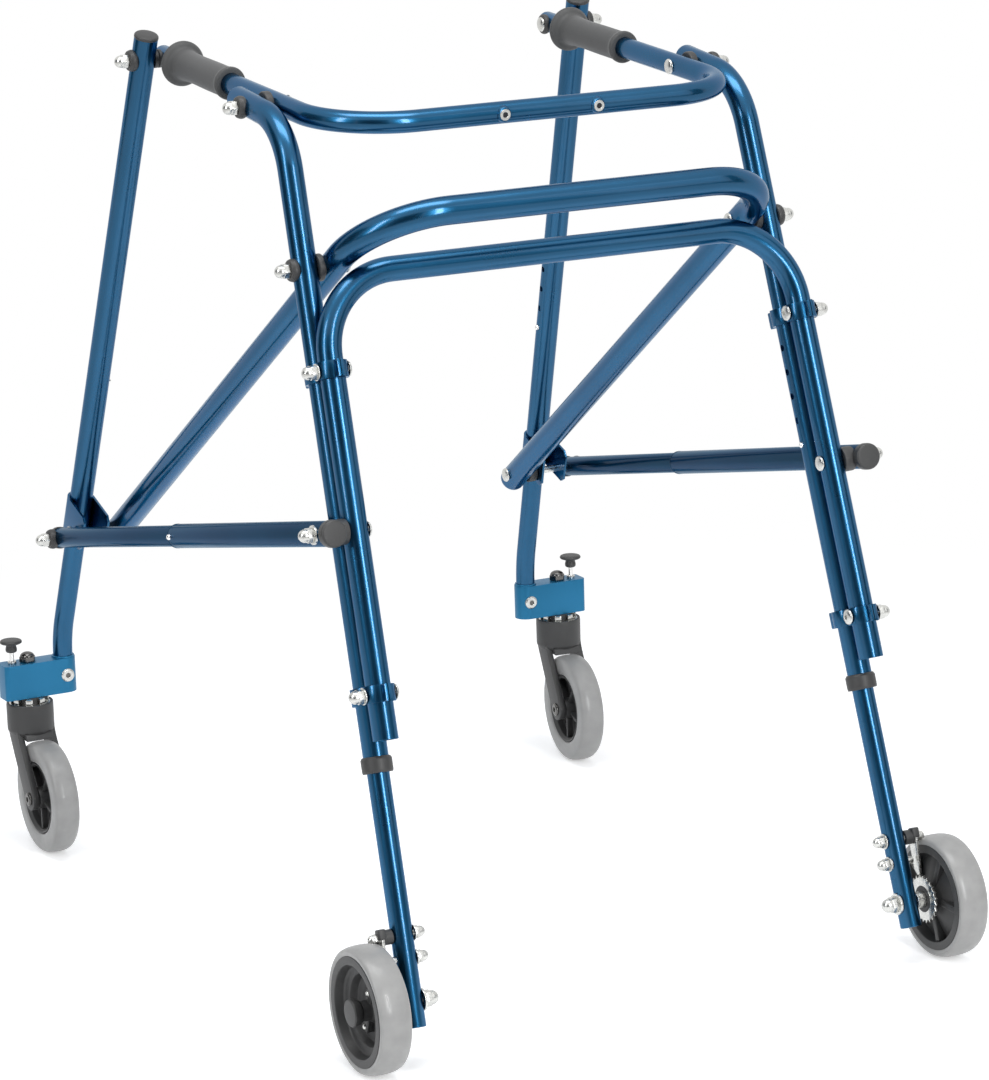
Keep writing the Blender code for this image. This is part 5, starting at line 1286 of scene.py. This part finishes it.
# %% Pawls
PAWL_TIP = 0.0253
ratchet_x = REAR_WHEEL_X - RATCHET_INWARD
for tag, side in SIDES:
    body = f"pawl_{tag}"
    pivot = rear_leg(side, PAWL_PIVOT_Z)
    axle = placed(pivot.x, 0, WHEEL_RADIUS)
    reach = (pivot - axle).length
    outline = [(PAWL_TIP, -0.0016), (PAWL_TIP + 0.006, -0.006), (reach - 0.004, -0.0067)]
    outline += arc(0.0080, 18, -QUARTER, math.pi, (reach, 0))
    outline += [(reach - 0.006, 0.0067), (PAWL_TIP + 0.010, 0.0042), (PAWL_TIP, 0.0016)]
    centre = Vector((side * ratchet_x, axle.y, axle.z))
    blade_place = frame_at(centre, Vector((1, 0, 0)), pivot - axle)
    blade = slab(f"pawl_blade_{tag}", [outline], 0.0030, blade_place, 0.0005)
    fit(blade, "zinc", body, f"pawl_{tag}")
    gap = ratchet_x - abs(pivot.x)
    place = along(pivot, Vector((side, 0, 0)))
    inward = place @ turn(180, "X")
    pawl_pin = [
        (0, gap + 0.0035), (0.0052, gap + 0.0035), (0.0060, gap + 0.0025), (0.0060, gap),
        (0.0040, gap), (0.0040, -skin - 0.0030), (0, -skin - 0.0030),
    ]
    fit(turned(f"pawl_pin_{tag}", pawl_pin, place, 40, 0.0003), "zinc", body)
    boss = disc(f"pawl_boss_{tag}", skin + TOUCH, gap - 0.0015, 0.0075, place, 0.0008)
    fit(boss, "black_plastic", body)
    fit(acorn(f"pawl_nut_{tag}", skin + WASHER_THICKNESS, inward, 0.85), "zinc", body)
    fit(acorn(f"pawl_outer_nut_{tag}", gap + 0.0030, place, 0.70), "zinc", body)
    low, high = -skin - WASHER_THICKNESS, -skin - TOUCH
    fit(disc(f"pawl_washer_{tag}", low, high, 0.0080, place), "zinc", body)
    finger_place = blade_place @ spot(reach + 0.0035, 0.0035)
    finger = block(f"pawl_finger_{tag}", (0.0105, 0.0100, 0.0080), finger_place, 0.0016)
    fit(finger, "black_plastic", body)

# %% Spring buttons
# One turned master is set at all six places by the node tree, each ball facing out of its tube.
button_profile = [
    (0, 0), (0.0031, 0), (0.0031, 0.0026), (0.0027, 0.0040), (0.0016, 0.0050), (0, 0.0053),
]
button_master = turned("button_master", button_profile, spot(), 32)
for tag, side in SIDES:
    inward = Vector((-side, 0, 0))
    _, brace_outward, run = brace_pivot(side)
    seats = {
        f"rear_leg_button_{tag}": (rear_leg(side, REAR_BUTTON_Z), inward),
        f"front_leg_button_{tag}": (front_leg(side, FRONT_BUTTON_Z), inward),
        f"brace_button_{tag}": (brace_point(side, BRACE_STEP_Y[tag]) - run * 0.006, brace_outward),
    }
    for node, (seat, way) in seats.items():
        start = seat + way * (TUBE_RADIUS - 0.0023)
        settle(copied(f"{node}_ball", start, way, button_master, "chrome"), node, "chrome", node)
bpy.data.objects.remove(button_master, do_unlink=True)
print("rear wheels, pawls and buttons are dressed")

# %% [markdown]
# ## Casters
#
# Each caster hangs from a blue cast block on the front leg's foot. A castellated zinc ring turns
# with the fork. A sprung plunger can drop into one of its notches and hold the caster straight.

# %% Caster fork shapes
FORK_INSIDE = CASTER_WHEEL_WIDTH / 2 + 0.0012
FORK_HALF_WIDTH = 0.0135
CROWN_FOOT = 0.1345
RING_TOP = BLOCK_FOOT_Z - TOUCH
RING_FOOT = RING_TOP - 0.0082
RING_RADIUS = 0.0215
RING_CORE = 0.0150
NOTCH_HALF = 0.0045
SIDEWAYS = turn(90, "Y") @ turn(90, "Z")
nut_seat = BLOCK_TOP_Z + TOUCH

crown = [
    (0, RING_FOOT - 0.0015), (0.0230, RING_FOOT - 0.0015), (0.0240, RING_FOOT + 0.0022),
    (0.0262, RING_FOOT + 0.0022), (0.0266, RING_FOOT - 0.0010), (0.0265, CROWN_FOOT),
    (0.0245, 0.1300), (0.0180, 0.1290), (0, 0.1290),
]
fork_leg = arc(0.013, 24, math.pi * 0.9, math.pi, (-CASTER_TRAIL, WHEEL_RADIUS))
fork_leg += [(FORK_HALF_WIDTH, CROWN_FOOT), (FORK_HALF_WIDTH, RING_FOOT - 0.001)]
fork_leg += [(-FORK_HALF_WIDTH, RING_FOOT - 0.001), (-FORK_HALF_WIDTH, CROWN_FOOT)]
fork_leg = softened(fork_leg, 0.010, closed=True, steps=3)
axle_head = [
    (0, 0), (0.0075, 0), (0.0075, 0.0018), (0.0060, 0.0030), (0.0030, 0.0030), (0.0030, 0.0010),
    (0, 0.0010),
]
# A bridge between the legs, behind the crown, arched over the tyre.
arch = [(-0.0300, 0.1262), (-0.0240, 0.1330), (-0.0100, 0.1340), (-0.0100, 0.1285), (-0.0200, 0.1262)]
arch = softened(arch, 0.002, closed=True)
# The notches are as wide all along as the plunger's pin needs, so the teeth are wedges.
tooth = []
for radius in (RING_CORE, RING_RADIUS):
    edge = math.asin(NOTCH_HALF / radius)
    tooth = arc(radius, 8, edge, math.pi / 4 - 2 * edge) + tooth[::-1]
dome = [(0.0083 * x, nut_seat + 0.0056 + 0.0055 * y) for x, y in arc(1, 12, 0, QUARTER)[:-1]]
dome = [(0, nut_seat + 0.0045), *dome, (0, nut_seat + 0.0111)]


# %% Caster forks
def caster_frame(tag, side):
    return spot(side * CASTER_STEM_X, SOCKET_Y) @ Matrix.Rotation(CASTER_YAW[tag], 4, "Z")


def caster_wheel_place(tag, side):
    place = caster_frame(tag, side)
    centre = place @ Vector((0, -CASTER_TRAIL, WHEEL_RADIUS))
    return frame_at(centre, place.to_3x3() @ Vector((side, 0, 0)), UP)


for tag, side in SIDES:
    body = f"caster_fork_{tag}"
    place = caster_frame(tag, side)
    wheel_place = caster_wheel_place(tag, side)
    crown_piece = turned(f"fork_crown_{tag}", crown, place, 96, 0.0014)
    fit(crown_piece, "black_plastic", body, f"caster_fork_{tag}")
    for way in (1, -1):
        leg_place = place @ spot(way * (FORK_INSIDE + 0.0035)) @ SIDEWAYS
        leg = slab(f"fork_leg_{tag}_{way}", [fork_leg], 0.0070, leg_place, 0.0014, 3)
        fit(leg, "black_plastic", body)
        head_place = wheel_place @ turn(90 * (1 - way), "Y")
        head = raised(axle_head, FORK_INSIDE + 0.0068)
        bolt = turned(f"fork_axle_{tag}_{way}", head, head_place, 40)
        fit(bolt, "dark_metal", body, slot="zinc")
    bridge = slab(f"fork_bridge_{tag}", [arch], 0.0320, place @ SIDEWAYS, 0.0008)
    fit(bridge, "black_plastic", body)
    low, high = -FORK_INSIDE - 0.002, FORK_INSIDE + 0.002
    fit(pin(f"fork_axle_rod_{tag}", low, high, BOLT_RADIUS, wheel_place), "zinc", body)

    base = disc(f"lock_ring_base_{tag}", RING_FOOT - 0.002, RING_FOOT + 0.0014, 0.0234, place)
    fit(base, "zinc", body)
    merlon = slab(f"lock_ring_teeth_{tag}", [tooth], 0.0068, spot(z=RING_FOOT + 0.0047))
    fit_round(merlon, 8, "zinc", place, body)
    fit(disc(f"lock_ring_core_{tag}", RING_FOOT, RING_TOP, RING_CORE, place), "black_plastic", body)
    fit(disc(f"stem_{tag}", RING_FOOT, BLOCK_TOP_Z + 0.004, 0.0065, place), "zinc", body)
    nut_place = place @ spot(z=nut_seat + 0.0030)
    nut = slab(f"stem_nut_{tag}", [arc(0.0098, 6)], 0.0060, nut_place, 0.0007, 3)
    fit(nut, "dark_metal", body, slot="black_plastic")
    fit(turned(f"stem_dome_{tag}", dome, place, 40, 0), "dark_metal", body, slot="black_plastic")

# %% Caster wheels
half = CASTER_WHEEL_WIDTH / 2
tread = [
    (0.0408, half * 0.90), (0.0450, half), (0.0560, half * 0.995), (0.0600, half * 0.93),
    (0.0625, half * 0.68), (0.0634, half * 0.34), (0.0635, 0),
]
rim = [(0.0360, half - 0.0045), (0.0385, half - 0.0015), (0.0405, half - 0.0010)]
hub = [(0.0042, half - 0.0004), (0.0115, half - 0.0004), (0.0120, half - 0.0030), (0.0130, 0)]
for tag, side in SIDES:
    body = f"caster_wheel_{tag}"
    place = caster_wheel_place(tag, side)
    tyre = turned(f"caster_tyre_tread_{tag}", both_faces(tread), place, 128, 0.0030)
    fit(tyre, "grey_tyre", body, f"caster_tyre_{tag}")
    hub_rim = turned(f"caster_rim_{tag}", both_faces(rim), place, 96, 0.0008)
    fit(hub_rim, "black_plastic", body, f"caster_hub_{tag}")
    web = disc(f"caster_web_{tag}", -0.0030, 0.0030, 0.0370, place)
    for x, y in arc(0.0245, 5):
        web = cut_out(web, disc("web_hole", -0.02, 0.02, 0.0075, place @ spot(x, y), 0))
    fit(web, "black_plastic", body)
    fit(turned(f"caster_boss_{tag}", both_faces(hub), place, 64, 0.0005), "black_plastic", body)
    spoke = block(f"caster_spokes_{tag}", (0.0270, 0.0034, 0.0190), spot(0.0240), 0.0008)
    fit_round(spoke, 5, "black_plastic", place @ turn(36, "Z"), body)

# %% Swivel lock plungers
knob = [
    (0, 0.2252), (0.0046, 0.2252), (0.0062, 0.2262), (0.0066, 0.2290), (0.0056, 0.2330),
    (0.0062, 0.2348), (0.0112, 0.2356), (0.0125, 0.2366), (0.0125, 0.2382), (0.0112, 0.2396),
    (0.0070, 0.2400), (0, 0.2400),
]
for tag, side in SIDES:
    body = f"lock_plunger_{tag}"
    place = spot(side * PLUNGER_X, SOCKET_Y)
    fit(pin(f"plunger_pin_{tag}", 0.1740, 0.2265, 0.0027, place), "chrome", body)
    fit(turned(f"plunger_knob_{tag}", knob, place, 72, 0.0010), "black_plastic", body, body)
print("casters and plungers are dressed")

# %% [markdown]
# ## Side braces
#
# Each brace is a tube in a tube that shortens as the walker folds. A spring button near the step
# holds it at length. Black caps close both ends.

# %% Side braces
rear_cap = [
    (0, -0.0028), (0.0118, -0.0026), (0.0134, -0.0012), (0.0137, 0.0010), (0.0137, 0.0068),
    (0.0132, 0.0076), (0, 0.0076),
]
front_cap = [
    (0, 0.0022), (0.0100, 0.0020), (0.0117, 0.0008), (0.0121, -0.0010), (0.0121, -0.0070),
    (0, -0.0070),
]
for tag, side in SIDES:
    body = f"brace_outer_{tag}"
    pivot, _, run = brace_pivot(side)
    rear = pivot - run * 0.020
    mouth = brace_point(side, BRACE_STEP_Y[tag])
    mouth_place = along(mouth, run)
    outer = tube(f"brace_outer_tube_{tag}", [rear, mouth], TUBE_RADIUS, "dark_tube", 0.0006)
    settle(hollowed(outer, -0.030, 0.004, 0.0113, mouth_place), body, "dark_tube", body)
    lid = turned(f"brace_rear_cap_{tag}", rear_cap, along(rear, run), 64, 0.0006)
    fit(lid, "black_plastic", body)
    lip = disc(f"brace_mouth_{tag}", -0.0016, 0.0008, 0.0129, mouth_place, 0.0005, 0.0114)
    fit(lip, "dark_tube", body)

    body = f"brace_inner_{tag}"
    front_pivot = placed(side * BRACE_FRONT_X, *FRONT_PIVOT)
    route = [mouth - run * 0.060, front_pivot + run * 0.010]
    inner = tube(f"brace_inner_tube_{tag}", route, skin, "dark_tube", 0.001)
    settle(inner, body, "dark_tube", body)
    lid = turned(f"brace_front_cap_{tag}", front_cap, along(route[1], run), 64, 0.0006)
    fit(lid, "black_plastic", body)
    place = along(front_pivot, Vector((side, 0, 0)))
    low, high = -skin - WASHER_THICKNESS, -skin + 0.002
    fit(disc(f"brace_front_washer_{tag}", low, high, 0.0112, place), "zinc", body)
    fit(saddle(f"brace_front_saddle_{tag}", skin, place, 0.0112), "black_plastic", body)
    fit(acorn(f"brace_front_nut_{tag}", skin + 0.0048, place), "zinc", body)
print("braces are dressed")

# %% [markdown]
# ## The finished walker
#
# The bodies are measured once more, now with the dressed pieces. Both boxes are printed side by side.

# %% Sizes
seen_low, seen_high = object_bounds()
for axis, low, high, cad_a, cad_b in zip("xyz", seen_low, seen_high, cad_low, cad_high):
    print(axis, "dressed", round(low, 4), round(high, 4), "CAD", round(cad_a, 4), round(cad_b, 4))
